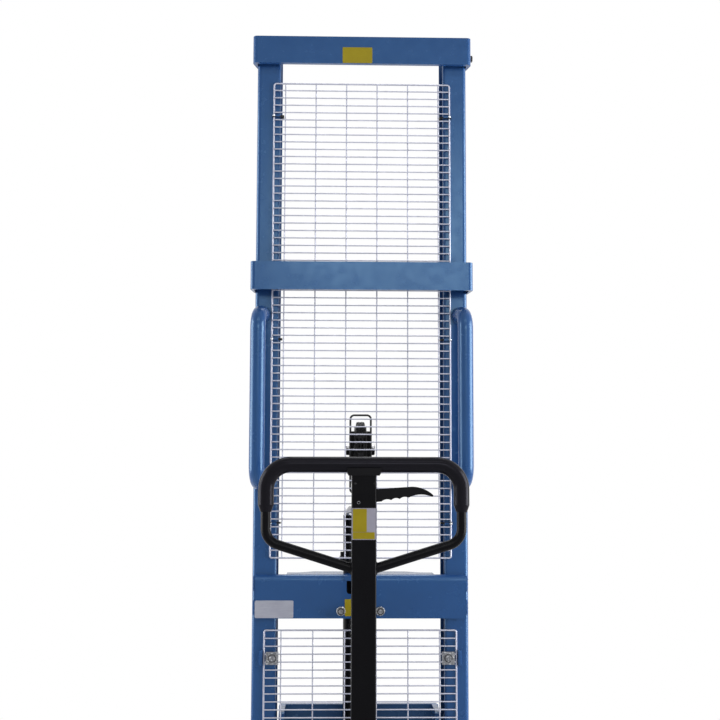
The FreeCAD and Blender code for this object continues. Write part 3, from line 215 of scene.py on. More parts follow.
def uneven_coat_group():
    """Cloudy change of colour and gloss over a surface."""
    group, source, sink = new_group(
        "uneven_coat",
        [
            ("Vector", "Vector"),
            ("Colour", "Color"),
            ("Shade", "Color"),
            ("Cloud Scale", "Float"),
            ("Roughness Low", "Float"),
            ("Roughness High", "Float"),
        ],
        [("Colour", "Color"), ("Roughness", "Float")],
    )
    cloud = add_noise(group, source["Vector"], source["Cloud Scale"], cloud_detail)
    share = add_range(group, cloud, *cloud_band)
    group.links.new(add_mix(group, share, source["Colour"], source["Shade"]), sink["Colour"])
    smear = add_noise(group, source["Vector"], smear_scale, smear_detail)
    ends = (source["Roughness Low"], source["Roughness High"])
    group.links.new(add_range(group, smear, *smear_band, *ends), sink["Roughness"])
    return group


def fine_grain_group():
    """Height of a fine grain on a slower wave, as on sprayed paint or a casting."""
    group, source, sink = new_group(
        "fine_grain",
        [("Vector", "Vector"), ("Grain Scale", "Float"), ("Wave Scale", "Float")],
        [("Height", "Float")],
    )
    grain = add_noise(group, source["Vector"], source["Grain Scale"], grain_detail)
    wave = add_noise(group, source["Vector"], source["Wave Scale"], wave_detail)
    group.links.new(add_math(group, "ADD", grain, wave), sink["Height"])
    return group


def marks_and_painted_glints_group():
    """Mask of handling marks and streaks, drawn out along one axis; on the zinc the same mask
    places bright spots of painted glint.
    """
    group, source, sink = new_group(
        "marks_and_painted_glints",
        [("Vector", "Vector"), ("Stretch", "Vector"), ("Thin", "Float"), ("Full", "Float")],
        [("Mask", "Float")],
    )
    drawn = group.nodes.new("ShaderNodeVectorMath")
    drawn.operation = "MULTIPLY"
    group.links.new(source["Vector"], drawn.inputs[0])
    group.links.new(source["Stretch"], drawn.inputs[1])
    streak = add_noise(group, drawn.outputs[0], streak_scale, streak_detail)
    group.links.new(add_range(group, streak, source["Thin"], source["Full"]), sink["Mask"])
    return group


uneven_coat = uneven_coat_group()
fine_grain = fine_grain_group()
marks_and_painted_glints = marks_and_painted_glints_group()


def place_group(tree, group, vector, **values):
    """Group placed in a material with its own values."""
    node = tree.nodes.new("ShaderNodeGroup")
    node.node_tree = group
    tree.links.new(vector, node.inputs["Vector"])
    for label, value in values.items():
        node.inputs[label.replace("_", " ")].default_value = value
    return node.outputs


# Finishes

def opaque(colour):
    """Colour with full alpha."""
    return (*colour, 1.0)


def finish(
    name,
    colour,
    shade,
    roughness,
    cloud_scale=9.0,
    grain_scale=900.0,
    wave_scale=120.0,
    bump=0.05,
    metallic=0.0,
    specular=0.5,
    tint=(1.0, 1.0, 1.0),
    marks_and_glints=None,
):
    """Surface finish: uneven coat, fine grain and, where given, rubbed marks of another colour,
    which on the zinc are bright spots of painted glint.
    """
    material = bpy.data.materials.new(name)
    material.use_nodes = True
    tree = material.node_tree
    shader = tree.nodes["Principled BSDF"]
    vector = tree.nodes.new("ShaderNodeTexCoord").outputs["Object"]
    coated = place_group(
        tree,
        uneven_coat,
        vector,
        Colour=opaque(colour),
        Shade=opaque(shade),
        Cloud_Scale=cloud_scale,
        Roughness_Low=roughness[0],
        Roughness_High=roughness[1],
    )
    surface = coated["Colour"]
    if marks_and_glints:
        marked_and_glinting = place_group(
            tree,
            marks_and_painted_glints,
            vector,
            Stretch=marks_and_glints["stretch"],
            Thin=marks_and_glints["thin"],
            Full=marks_and_glints["full"],
        )
        surface = add_mix(tree, marked_and_glinting["Mask"], surface, opaque(marks_and_glints["colour"]))
    tree.links.new(surface, shader.inputs["Base Color"])
    tree.links.new(coated["Roughness"], shader.inputs["Roughness"])
    grained = place_group(tree, fine_grain, vector, Grain_Scale=grain_scale, Wave_Scale=wave_scale)
    relief = tree.nodes.new("ShaderNodeBump")
    relief.inputs["Strength"].default_value = bump
    relief.inputs["Distance"].default_value = relief_depth
    tree.links.new(grained["Height"], relief.inputs["Height"])
    tree.links.new(relief.outputs["Normal"], shader.inputs["Normal"])
    shader.inputs["Metallic"].default_value = metallic
    shader.inputs["Specular IOR Level"].default_value = specular
    shader.inputs["Specular Tint"].default_value = opaque(tint)
    return material


finishes = {
    "blue_paint": finish(
        "blue_enamel",
        colour=(0.014, 0.053, 0.170),
        shade=(0.013, 0.049, 0.161),
        roughness=(0.20, 0.28),
        bump=0.006,
        tint=(0.45, 0.76, 1.0),
        marks_and_glints=dict(stretch=(60.0, 60.0, 9.0), thin=0.68, full=0.86, colour=(0.018, 0.058, 0.178)),
    ),
    "black_paint": finish(
        "black_satin_paint",
        colour=(0.0012, 0.0012, 0.0022),
        shade=(0.0008, 0.0008, 0.0016),
        roughness=(0.26, 0.36),
        bump=0.03,
        specular=0.075,
        marks_and_glints=dict(
            stretch=(80.0, 80.0, 14.0), thin=0.70, full=0.86, colour=(0.0035, 0.0035, 0.0046)
        ),
    ),
    "black_steel": finish(
        "blackened_wire",
        colour=(0.016, 0.016, 0.018),
        shade=(0.010, 0.010, 0.011),
        roughness=(0.34, 0.48),
        cloud_scale=40.0,
        specular=0.3,
    ),
    "zinc_wire": finish(
        "zinc_wire",
        colour=(0.40, 0.41, 0.49),
        shade=(0.36, 0.37, 0.45),
        roughness=(0.32, 0.42),
        cloud_scale=30.0,
        bump=0.0,
        metallic=0.45,
    ),
    "zinc_steel": finish(
        "zinc_plated_steel",
        colour=(0.23, 0.235, 0.25),
        shade=(0.14, 0.145, 0.16),
        roughness=(0.16, 0.28),
        cloud_scale=160.0,
        grain_scale=1600.0,
        wave_scale=300.0,
        metallic=0.95,
        # Bright spots of painted glint, standing in for highlights on the zinc
        marks_and_glints=dict(stretch=(260.0, 260.0, 260.0), thin=0.54, full=0.66, colour=(0.50, 0.505, 0.53)),
    ),
    "bright_steel": finish(
        "turned_steel",
        colour=(0.46, 0.46, 0.47),
        shade=(0.38, 0.38, 0.39),
        roughness=(0.22, 0.34),
        cloud_scale=60.0,
        grain_scale=1400.0,
        wave_scale=260.0,
        metallic=1.0,
        marks_and_glints=dict(stretch=(900.0, 40.0, 40.0), thin=0.5, full=0.7, colour=(0.34, 0.34, 0.35)),
    ),
    "chain_steel": finish(
        "oiled_chain_steel",
        colour=(0.020, 0.020, 0.022),
        shade=(0.010, 0.010, 0.010),
        roughness=(0.26, 0.42),
        cloud_scale=90.0,
        metallic=0.1,
        specular=0.06,
    ),
    "chrome_rod": finish(
        "hard_chrome",
        colour=(0.66, 0.67, 0.69),
        shade=(0.60, 0.61, 0.63),
        roughness=(0.06, 0.12),
        cloud_scale=14.0,
        bump=0.01,
        metallic=1.0,
    ),
    "cast_black": finish(
        "painted_casting",
        colour=(0.0105, 0.0105, 0.0115),
        shade=(0.0080, 0.0080, 0.0088),
        roughness=(0.40, 0.56),
        grain_scale=420.0,
        wave_scale=160.0,
        bump=0.22,
        specular=0.25,
    ),
    "cast_hub": finish(
        "die_cast_hub",
        colour=(0.40, 0.41, 0.42),
        shade=(0.33, 0.34, 0.35),
        roughness=(0.32, 0.46),
        cloud_scale=40.0,
        grain_scale=700.0,
        wave_scale=200.0,
        bump=0.10,
        metallic=0.85,
    ),
    "tread": finish(
        "hard_rubber_tread",
        colour=(0.020, 0.020, 0.020),
        shade=(0.026, 0.025, 0.024),
        roughness=(0.52, 0.70),
        cloud_scale=30.0,
        grain_scale=800.0,
        wave_scale=140.0,
        bump=0.16,
        specular=0.3,
        marks_and_glints=dict(
            stretch=(25.0, 140.0, 140.0), thin=0.55, full=0.75, colour=(0.040, 0.038, 0.036)
        ),
    ),
    "nylon": finish(
        "cast_nylon",
        colour=(0.56, 0.53, 0.44),
        shade=(0.50, 0.47, 0.39),
        roughness=(0.38, 0.52),
        cloud_scale=30.0,
        specular=0.4,
        marks_and_glints=dict(stretch=(30.0, 120.0, 120.0), thin=0.58, full=0.78, colour=(0.34, 0.32, 0.27)),
    ),
    "grip_rubber": finish(
        "moulded_grip",
        colour=(0.0078, 0.0074, 0.0094),
        shade=(0.0070, 0.0066, 0.0084),
        roughness=(0.18, 0.25),
        grain_scale=1300.0,
        wave_scale=220.0,
        bump=0.012,
        specular=0.07,
        tint=(0.80, 0.80, 1.0),
    ),
    "black_plastic": finish(
        "moulded_black_plastic",
        colour=(0.0062, 0.0062, 0.0074),
        shade=(0.0052, 0.0052, 0.0062),
        roughness=(0.32, 0.44),
        grain_scale=1500.0,
        wave_scale=240.0,
        bump=0.06,
        specular=0.06,
    ),
}

yellow_foil = finish(
    "yellow_foil",
    colour=(0.285, 0.226, 0.013),
    shade=(0.265, 0.210, 0.012),
    roughness=(0.30, 0.42),
    cloud_scale=45.0,
    specular=0.10,
    marks_and_glints=dict(stretch=(160.0, 160.0, 40.0), thin=0.68, full=0.84, colour=(0.33, 0.265, 0.034)),
)
white_foil = finish(
    "white_foil",
    colour=(0.30, 0.292, 0.355),
    shade=(0.275, 0.268, 0.328),
    roughness=(0.30, 0.42),
    cloud_scale=45.0,
    specular=0.15,
)
silver_foil = finish(
    "silver_foil",
    colour=(0.32, 0.33, 0.390),
    shade=(0.29, 0.30, 0.360),
    roughness=(0.32, 0.44),
    cloud_scale=45.0,
    metallic=0.2,
    specular=0.2,
    marks_and_glints=dict(stretch=(30.0, 400.0, 500.0), thin=0.52, full=0.72, colour=(0.35, 0.36, 0.415)),
)


def dress_cad_nodes():
    """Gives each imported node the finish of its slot."""
    for subpart in frame["record"]["subparts"]:
        materials = frame["nodes"][subpart["node"]].data.materials
        materials.clear()
        materials.append(finishes[subpart["material_slot"]])


# Shapes

sharp_angle = math.radians(32)
press_in = 0.0002
washer_edge = 0.0004
head_edge = 0.0005
head_crown_shares = (0.44, 0.40)
head_crown_height = 0.0005


def new_piece(name, bm, body, slot, material=None):
    """Finished piece from a bmesh, riding on a body."""
    bmesh.ops.recalc_face_normals(bm, faces=bm.faces[:])
    mesh = bpy.data.meshes.new(name)
    bm.to_mesh(mesh)
    bm.free()
    mesh.shade_smooth()
    mesh.set_sharp_from_angle(angle=sharp_angle)
    mesh.materials.append(material or finishes[slot])
    piece = bpy.data.objects.new(name, mesh)
    bpy.context.scene.collection.objects.link(piece)
    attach(piece, body)
    return piece


def turn_to(axis):
    """Turn that takes +Z to an axis."""
    return Z_AXIS.rotation_difference(axis).to_matrix().to_4x4()


def stamp(bm, shape, matrix):
    """Copy of a small shape, moved into place."""
    copy = shape.copy()
    copy.transform(matrix)
    bm.from_mesh(copy)
    bpy.data.meshes.remove(copy)


def shape_of(bm, name):
    """Small shape kept for stamping."""
    bmesh.ops.recalc_face_normals(bm, faces=bm.faces[:])
    mesh = bpy.data.meshes.new(name)
    bm.to_mesh(mesh)
    bm.free()
    return mesh


def each_once(parts):
    """Parts of a shape in their order, none of them twice."""
    return list(dict.fromkeys(parts))


def edges_at(verts):
    """Edges that meet at vertices."""
    return each_once(e for v in verts for e in v.link_edges)


def edges_round(faces):
    """Edges that bound faces."""
    return each_once(e for f in faces for e in f.edges)


def round_edges(bm, edges, offset, segments=2):
    """Rounds edges, or chamfers them with one segment."""
    bmesh.ops.bevel(
        bm, geom=edges, offset=offset, segments=segments, profile=0.5, affect="EDGES", material=-1
    )


def add_cuboid(bm, lo, hi):
    """Sharp block between two corners."""
    made = bmesh.ops.create_cube(bm, size=1.0)["verts"]
    bmesh.ops.scale(bm, vec=hi - lo, verts=made)
    bmesh.ops.translate(bm, vec=middle(lo, hi), verts=made)
    return made


def add_block(bm, lo, hi, edge, segments=2):
    """Block between two corners with rounded edges."""
    round_edges(bm, edges_at(add_cuboid(bm, lo, hi)), edge, segments)


def add_bar(bm, start, end, radius, end_radius=None, sides=24, edge=0.0):
    """Round or sided bar between two points, with rounded rims where an edge is given."""
    along = end - start
    made = bmesh.ops.create_cone(
        bm,
        cap_ends=True,
        segments=sides,
        radius1=radius,
        radius2=radius if end_radius is None else end_radius,
        depth=along.length,
        matrix=Matrix.Translation(middle(start, end)) @ turn_to(along),
    )["verts"]
    if edge:
        faces = each_once(f for v in made for f in v.link_faces)
        round_edges(bm, edges_round(f for f in faces if len(f.verts) == sides), edge)


def add_bolt(bm, seat, axis, flats, height, washer=None):
    """Hexagon head on a seat, with a washer of a radius and a thickness where one is given."""
    start = seat - axis * press_in
    if washer:
        washer_radius, washer_thickness = washer
        washer_top = seat + axis * washer_thickness
        add_bar(bm, start, washer_top, washer_radius, edge=washer_edge)
        start = washer_top
    top = start + axis * height
    add_bar(bm, start, top, flats / math.sqrt(3), sides=6, edge=head_edge)
    foot_radius, crown_radius = (flats * share for share in head_crown_shares)
    add_bar(bm, top - axis * press_in, top + axis * head_crown_height, foot_radius, crown_radius)


def add_wire_section(bm, place, wire, sides=10):
    """Round section of a wire, ready to be spun about an upright axis."""
    section = Matrix.Translation(place) @ Matrix.Rotation(QUARTER_TURN, 4, "X")
    made = bmesh.ops.create_circle(bm, segments=sides, radius=wire, matrix=section)["verts"]
    return made + edges_at(made)


def add_ring(bm, centre, axis, radius, wire, steps=36):
    """Round wire ring about an axis."""
    before = set(bm.verts)
    bmesh.ops.spin(
        bm,
        geom=add_wire_section(bm, Vector((radius, 0, 0)), wire),
        cent=(0, 0, 0),
        axis=Z_AXIS,
        angle=FULL_TURN,
        steps=steps,
        use_merge=True,
    )
    new = [v for v in bm.verts if v not in before]
    bmesh.ops.transform(bm, matrix=Matrix.Translation(centre) @ turn_to(axis), verts=new)


def add_dome(bm, seat, axis, radius, height):
    """Round rivet head on a seat."""
    before = set(bm.verts)
    made = bmesh.ops.create_uvsphere(bm, u_segments=18, v_segments=12, radius=1.0)["verts"]
    bmesh.ops.bisect_plane(
        bm,
        geom=each_once(g for v in made for g in (v, *v.link_edges, *v.link_faces)),
        plane_co=(0, 0, 0),
        plane_no=Z_AXIS,
        clear_inner=True,
    )
    new = [v for v in bm.verts if v not in before]
    bmesh.ops.scale(bm, vec=(radius, radius, height), verts=new)
    foot = seat - axis * press_in
    bmesh.ops.transform(bm, matrix=Matrix.Translation(foot) @ turn_to(axis), verts=new)
    bmesh.ops.holes_fill(bm, edges=[e for e in edges_at(new) if e.is_boundary], sides=0)


# Places shared by the small parts

handle_tube_radius = 0.017
handle_root_x = 0.2227
mast_edge_radius = 0.009
king_radius = (king_hi.x - king_lo.x) / 2
king_gap = 0.0003
king_top = thrust_lo.z - king_gap
king_y = king_lo.y + king_radius
bush_radius = 0.037
saddle_bolt_x = 0.0433
saddle_bolt_rise = 0.016
saddle_bolt_z = cross_lo.z + saddle_bolt_rise
clamp_half = 0.014
clamp_x = 0.194
clamp_heights = (clamp_hi.z - clamp_half, clamp_lo.z + clamp_half)
clip_half = 0.0018
clip_span = clip_hi.z - clip_lo.z - 2 * clip_half
clip_wires = (0, 24, 54)
clip_heights = [clip_lo.z + clip_half + clip_span * (n / clip_wires[-1]) for n in clip_wires]
rivet_head = (0.0026, 0.0012)


# Weld beads

bead_step = 0.85
bead_sway = 0.10
bead_beat = 2.4
frame_bead = 0.006
cross_end_bead = 0.009
handle_bead = 0.005
heavy_bead = 0.007
tiller_bead = 0.0048


def bead_ripple():
    """One ripple of a weld bead, of unit radius."""
    bm = bmesh.new()
    bmesh.ops.create_uvsphere(bm, u_segments=8, v_segments=5, radius=1.0)
    return shape_of(bm, "bead_ripple")


ripple = bead_ripple()


def add_bead(bm, points, width):
    """Weld bead of overlapping ripples through the points."""
    radius = width / 2
    count = 0
    for start, end in zip(points, points[1:]):
        along = end - start
        steps = max(1, round(along.length / (radius * bead_step)))
        for step in range(steps):
            size = radius * (1 + bead_sway * math.sin(bead_beat * count))
            place = start + along * (step / steps)
            stamp(bm, ripple, Matrix.Translation(place) @ Matrix.Scale(size, 4))
            count += 1


def ring_points(centre, axis, radius, steps=28):
    """Points round a circle about an axis."""
    turn = Matrix.Translation(centre) @ turn_to(axis)
    points = []
    for step in range(steps + 1):
        angle = FULL_TURN * step / steps
        points.append(turn @ Vector((radius * math.cos(angle), radius * math.sin(angle), 0)))
    return points


def handle_root_points(side, z):
    """Points round the root of a push handle, over the rounded edge of the mast."""
    points = ring_points(Vector((side * handle_root_x, mast_lo.y, z)), Y_AXIS, handle_tube_radius)
    flat_end = mast_hi.x - mast_edge_radius
    for point in points:
        over = max(0.0, abs(point.x) - flat_end)
        point.y += mast_edge_radius - math.sqrt(mast_edge_radius ** 2 - over ** 2)
    return points


def add_mast_beads(bm, side):
    """Beads at one mast: ends of the cross member and the beams, handle roots and leg."""
    cross_stand_out = 0.0012
    cross_spans = ((0.010, 0.040), (0.062, 0.092))
    beam_foot, beam_head = 0.003, 0.015
    end_x = side * (cross_hi.x + cross_stand_out)
    end = Vector((end_x, mast_lo.y - cross_end_bead / 2, cross_lo.z))
    for low, high in cross_spans:
        add_bead(bm, [end + Z_AXIS * low, end + Z_AXIS * high], cross_end_bead)
    web_x = side * mast_hi.x
    for lo, hi in ((mid_lo, mid_hi), (top_lo, top_hi)):
        low = Vector((web_x, hi.y, lo.z + beam_foot))
        high = Vector((web_x, hi.y, hi.z - beam_head))
        add_bead(bm, [low, high], frame_bead)
    for z in (handle_lo.z + handle_tube_radius, handle_hi.z - handle_tube_radius):
        add_bead(bm, handle_root_points(side, z), handle_bead)
    leg_inner = Vector((side * leg_lo.x, leg_lo.y, leg_hi.z))
    leg_outer = Vector((web_x, leg_lo.y, leg_hi.z))
    add_bead(bm, [leg_inner, leg_outer], frame_bead)


def frame_welds():
    """Beads on both masts and on the steering head."""
    arm_half = 0.118
    arm_inset = 0.010
    bush_drop = 0.010
    bm = bmesh.new()
    for side in SIDES:
        add_mast_beads(bm, side)
    arm_ends = [Vector((side * arm_half, head_hi.y - arm_inset, king_top)) for side in SIDES]
    add_bead(bm, arm_ends, heavy_bead)
    bush = Vector((0, king_y, king_top - bush_drop))
    add_bead(bm, ring_points(bush, Z_AXIS, bush_radius), frame_bead)
    new_piece("frame_weld_beads", bm, "frame", "blue_paint")


def tiller_welds():
    """Beads where the loop meets the column and the column meets its socket."""
    loop_root_z = 0.7919
    loop_root_radius = 0.0108
    bm = bmesh.new()
    y = middle(column_lo, column_hi).y
    for side in SIDES:
        root = Vector((side * column_hi.x, y, loop_root_z))
        add_bead(bm, ring_points(root, X_AXIS, loop_root_radius), tiller_bead)
    top = base_hi.z
    corners = [
        Vector((column_lo.x, column_lo.y, top)),
        Vector((column_hi.x, column_lo.y, top)),
        Vector((column_hi.x, column_hi.y, top)),
        Vector((column_lo.x, column_hi.y, top)),
    ]
    add_bead(bm, corners + corners[:1], tiller_bead)
    new_piece("tiller_weld_beads", bm, "tiller", "black_paint")


def carriage_welds():
    """Beads between the carriage plates, its bars and the forks."""
    bar_thickness = 0.016
    low_bar, high_bar = 0.095, 0.070
    plate_x = 0.180
    fork_inset = 0.002
    fork_foot, fork_run = 0.004, 0.086
    bar_back = fork_lo.y - bar_thickness
    bar_spans = (
        (carriage_lo.z, carriage_lo.z + low_bar),
        (carriage_hi.z - high_bar, carriage_hi.z),
    )
    bm = bmesh.new()
    for side in SIDES:
        for span in bar_spans:
            add_bead(bm, [Vector((side * plate_x, bar_back, z)) for z in span], heavy_bead)
        for x in (fork_lo.x, fork_hi.x - fork_inset):
            low = Vector((side * x, fork_lo.y, carriage_lo.z + fork_foot))
            add_bead(bm, [low, low + Z_AXIS * fork_run], heavy_bead)
        top = Vector((side * fork_lo.x, fork_lo.y, carriage_lo.z + low_bar))
        add_bead(bm, [top, top + X_AXIS * (side * (fork_hi.x - fork_lo.x))], heavy_bead)
    new_piece("carriage_weld_beads", bm, "carriage", "blue_paint")


# Chain

chain_pitch = 0.0127
chain_leaf_half = 0.0062
chain_leaf_thickness = 0.0032
chain_leaf_sides = 12
chain_pin_radius = 0.0026
chain_leaves = (-2, -1, 0, 1, 2)
chain_side_room = 0.6
inner_run_slim = 0.0004


def chain_leaf(length, half, thickness):
    """One leaf of the chain: a plate with round ends, flat across X, from the origin along Z."""
    bm = bmesh.new()
    flat = Matrix.Rotation(QUARTER_TURN, 4, "Y")
    made = bmesh.ops.create_circle(
        bm, cap_ends=True, segments=chain_leaf_sides, radius=half, matrix=flat
    )["verts"]
    above_middle = half / chain_leaf_sides
    for vert in made:
        if vert.co.z > above_middle:
            vert.co.z += length
    grown = bmesh.ops.extrude_face_region(bm, geom=bm.faces[:])["geom"]
    moved = [g for g in grown if isinstance(g, bmesh.types.BMVert)]
    bmesh.ops.translate(bm, vec=(thickness, 0, 0), verts=moved)
    bmesh.ops.translate(bm, vec=(-thickness / 2, 0, 0), verts=bm.verts[:])
    return shape_of(bm, "chain_leaf")


def chain_pin(half_width):
    """One pin of the chain, across X at the origin."""
    bm = bmesh.new()
    reach = X_AXIS * half_width
    add_bar(bm, -reach, reach, chain_pin_radius, sides=10)
    return shape_of(bm, "chain_pin")


def add_link(bm, matrix, index, leaf, pin, half_width):
    """One pitch of the chain, with its leaves in the gaps of the pitch before."""
    spacing = 2 * half_width / (len(chain_leaves) + chain_side_room)
    stamp(bm, pin, matrix)
    for leaf_index in chain_leaves:
        if (leaf_index + index) % 2 == 0:
            stamp(bm, leaf, matrix @ Matrix.Translation((leaf_index * spacing, 0, 0)))


def straight_chain(name, body, lo, hi, slim=0.0):
    """Run of leaf chain between the ends of a CAD run, slimmer where it slides along another."""
    bm = bmesh.new()
    count = round((hi.z - lo.z) / chain_pitch)
    pitch = (hi.z - lo.z) / count
    half_width = (hi.x - lo.x) / 2 - slim
    leaf = chain_leaf(pitch, chain_leaf_half - slim, chain_leaf_thickness - slim)
    pin = chain_pin(half_width)
    for index in range(count):
        place = Vector((0, middle(lo, hi).y, lo.z + index * pitch))
        add_link(bm, Matrix.Translation(place), index, leaf, pin, half_width)
    return new_piece(name, bm, body, "chain_steel")


def wrapped_chain():
    """Leaf chain over the top half of the pulley."""
    bm = bmesh.new()
    axis = middle(pulley_lo, pulley_hi)
    run_half = (rear_hi.y - rear_lo.y) / 2
    pitch_radius = axis.y - middle(rear_lo, rear_hi).y
    count = round(HALF_TURN * pitch_radius / chain_pitch)
    step = HALF_TURN / count
    pitch = 2 * pitch_radius * math.sin(step / 2)
    half_width = (rear_hi.x - rear_lo.x) / 2
    leaf = chain_leaf(pitch, min(chain_leaf_half, run_half), chain_leaf_thickness)
    pin = chain_pin(half_width)
    for index in range(count):
        angle = HALF_TURN - index * step
        place = axis + Vector((0, math.cos(angle), math.sin(angle))) * pitch_radius
        turn = Matrix.Rotation(-(index + 0.5) * step, 4, "X")
        add_link(bm, Matrix.Translation(place) @ turn, index, leaf, pin, half_width)
    return new_piece("chain_wrap_links", bm, "ram", "chain_steel")


def fit_chains():
    """All three stretches of chain, each in place of its CAD solid."""
    front = straight_chain("chain_front_links", "carriage", front_lo, front_hi)
    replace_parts(front, "chain_front")
    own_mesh(front)
    low = straight_chain("chain_rear_links_low", "frame", rear_lo, rear_hi)
    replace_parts(low, "chain_rear")
    straight_chain("chain_rear_links_high", "ram", rear_lo, rear_hi, inner_run_slim)
    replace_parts(wrapped_chain(), "chain_wrap")


# Plunger spring

def fit_spring():
    """Wound return spring round the plunger, in place of its CAD solid."""
    wire = 0.0016
    turns = 8
    steps_per_turn = 24
    steps = turns * steps_per_turn
    centre = middle(spring_lo, spring_hi)
    length = spring_hi.z - spring_lo.z
    radius = (spring_hi.x - spring_lo.x) / 2 - wire
    start = Vector((centre.x + radius, centre.y, spring_lo.z + wire))
    bm = bmesh.new()
    bmesh.ops.spin(
        bm,
        geom=add_wire_section(bm, start, wire),
        cent=(centre.x, centre.y, start.z),
        axis=Z_AXIS,
        dvec=(0, 0, (length - 2 * wire) / steps),
        angle=FULL_TURN * turns,
        steps=steps,
    )
    bmesh.ops.holes_fill(bm, edges=[e for e in bm.edges if e.is_boundary], sides=0)
    coil = new_piece("plunger_return_coil", bm, "steering", "bright_steel")
    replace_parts(coil, "plunger_spring")
    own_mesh(coil)


# Bare plates; each has its body, finish, face, span across, span in height and corner radius

plate_thickness = 0.0005
plate_edge = 0.0002
foil_corner = 0.0015
name_plate_corner = 0.003
foil_face = column_lo.y - plate_thickness
square_on = 0.9
bare_plates = {
    "top_beam_foil": (
        "frame", yellow_foil, top_lo.y, (-0.045, 0.023), (1.918, 1.955), foil_corner,
    ),
    "cross_member_foil": (
        "frame", yellow_foil, cross_lo.y, (-0.035, 0.028), (0.670, 0.707), foil_corner,
    ),
    "name_plate": (
        "frame", silver_foil, cross_lo.y, (-0.2325, -0.148), (0.666, 0.704), name_plate_corner,
    ),
    "column_foil": (
        "tiller", white_foil, column_lo.y, (-0.0245, 0.0235), (0.849, 0.912), foil_corner,
    ),
    "column_foil_panel": (
        "tiller", yellow_foil, foil_face, (-0.0225, 0.0055), (0.8645, 0.9105), foil_corner,
    ),
    "column_foil_foot": (
        "tiller", yellow_foil, foil_face, (-0.0225, 0.0215), (0.8505, 0.8640), foil_corner,
    ),
}


def bare_plate(name, body, material, face, across, height, corner):
    """Thin blank plate stuck on a face that looks towards the operator."""
    bm = bmesh.new()
    lo = Vector((across[0], face - plate_thickness, height[0]))
    hi = Vector((across[1], face + press_in, height[1]))
    add_cuboid(bm, lo, hi)
    corners = [
        e for e in bm.edges if abs((e.verts[0].co - e.verts[1].co).normalized().y) > square_on
    ]
    round_edges(bm, corners, corner, segments=4)
    front = [f for f in bm.faces if f.normal.y < -square_on]
    round_edges(bm, edges_round(front), plate_edge, segments=1)
    new_piece(name, bm, body, None, material)


def fit_bare_plates():
    """Blank foils on the top beam, the cross member and the column."""
    for name, plate in bare_plates.items():
        bare_plate(name, *plate)


# Fasteners; a bolt has its size across flats, height and washer, a ring its radius and wire

axle_keeper = (0.013, 0.0050, (0.0130, 0.0016))
beam_bolt = (0.0135, 0.0140)
flange_bolt = (0.013, 0.008, (0.0095, 0.0016))
port_plug = (0.014, 0.007, (0.0095, 0.0014))
valve_bolt = (0.017, 0.006)
anchor_bolt = (0.010, 0.0045, (0.0072, 0.0012))
eyelet_ring = (0.0028, 0.0006)
# Clamp and nut rings: black rings of painted shade round bolt heads and in the gaps round the nuts
clamp_shadow_ring = (0.0082, 0.0009)
nut_shadow_ring = (0.0066, 0.0010)
washer_rim = (0.0091, 0.0009)
seal_ring = (0.0180, 0.0016)
race_ring = (0.0212, 0.0009)


def fit_tiller_trim():
    """Rivet heads and an eyelet on the back of the column."""
    rivets_x = (-0.018, 0.021)
    rivets_z = 0.961
    eyelet = Vector((-0.011, column_lo.y, 0.923))
    bm = bmesh.new()
    for x in rivets_x:
        add_dome(bm, Vector((x, column_lo.y, rivets_z)), -Y_AXIS, *rivet_head)
    new_piece("column_rivets", bm, "tiller", "chain_steel")
    bm = bmesh.new()
    add_ring(bm, eyelet, Y_AXIS, *eyelet_ring)
    new_piece("column_eyelet", bm, "tiller", "zinc_steel")


def fit_frame_bolts():
    """Axle keepers on the legs."""
    bm = bmesh.new()
    axle = middle(load_lo, load_hi)
    for side in SIDES:
        seat = Vector((side * leg_hi.x, axle.y, axle.z))
        add_bolt(bm, seat, X_AXIS * side, *axle_keeper)
    new_piece("frame_bolts", bm, "frame", "zinc_steel")


def fit_stop_bolt():
    """Bolt head on the right end of the top beam."""
    stand_out = 0.0025
    from_front = 0.009
    height = 1.9425
    bm = bmesh.new()
    seat = Vector((mast_hi.x + stand_out, top_hi.y - from_front, height))
    add_bolt(bm, seat, X_AXIS, *beam_bolt)
    new_piece("top_beam_bolt", bm, "frame", "black_steel")


def fit_clamp_lugs():
    """Lugs on the mast beside the guard clamps."""
    size = Vector((0.009, 0.008, 0.034))
    inner_x = 0.2146
    edge = 0.0025
    bm = bmesh.new()
    for side in SIDES:
        x_ends = sorted((side * inner_x, side * (inner_x + size.x)))
        for z in clamp_heights:
            lo = Vector((x_ends[0], mast_lo.y - size.y, z - size.z / 2))
            hi = Vector((x_ends[1], mast_lo.y + press_in, z + size.z / 2))
            add_block(bm, lo, hi, edge)
    new_piece("guard_clamp_lugs", bm, "frame", "blue_paint")


def fit_painted_shadow_rings():
    """Painted shade: black rings round the guard clamp bolts and on the cylinder clamp nuts,
    standing in for the dark gaps there.
    """
    clamp_face = clamp_lo.y + 0.0055
    nut_face = cross_lo.y - 0.0105
    bm = bmesh.new()
    for side in SIDES:
        for z in clamp_heights:
            add_ring(bm, Vector((side * clamp_x, clamp_face, z)), Y_AXIS, *clamp_shadow_ring)
        nut = Vector((side * saddle_bolt_x, nut_face, saddle_bolt_z))
        add_ring(bm, nut, Y_AXIS, *nut_shadow_ring)
    new_piece("fastener_shadow_rings", bm, "frame", "black_steel")


def fit_bright_rims():
    """Polished rims of the cylinder clamp washers and heads of the guard clip screws."""
    washer_face = cross_lo.y - 0.0024
    screw_x = 0.2011
    bm = bmesh.new()
    for side in SIDES:
        washer = Vector((side * saddle_bolt_x, washer_face, saddle_bolt_z))
        add_ring(bm, washer, Y_AXIS, *washer_rim)
        for z in clip_heights:
            add_dome(bm, Vector((side * screw_x, clip_lo.y, z)), -Y_AXIS, *rivet_head)
    new_piece("bright_rims", bm, "frame", "chrome_rod")


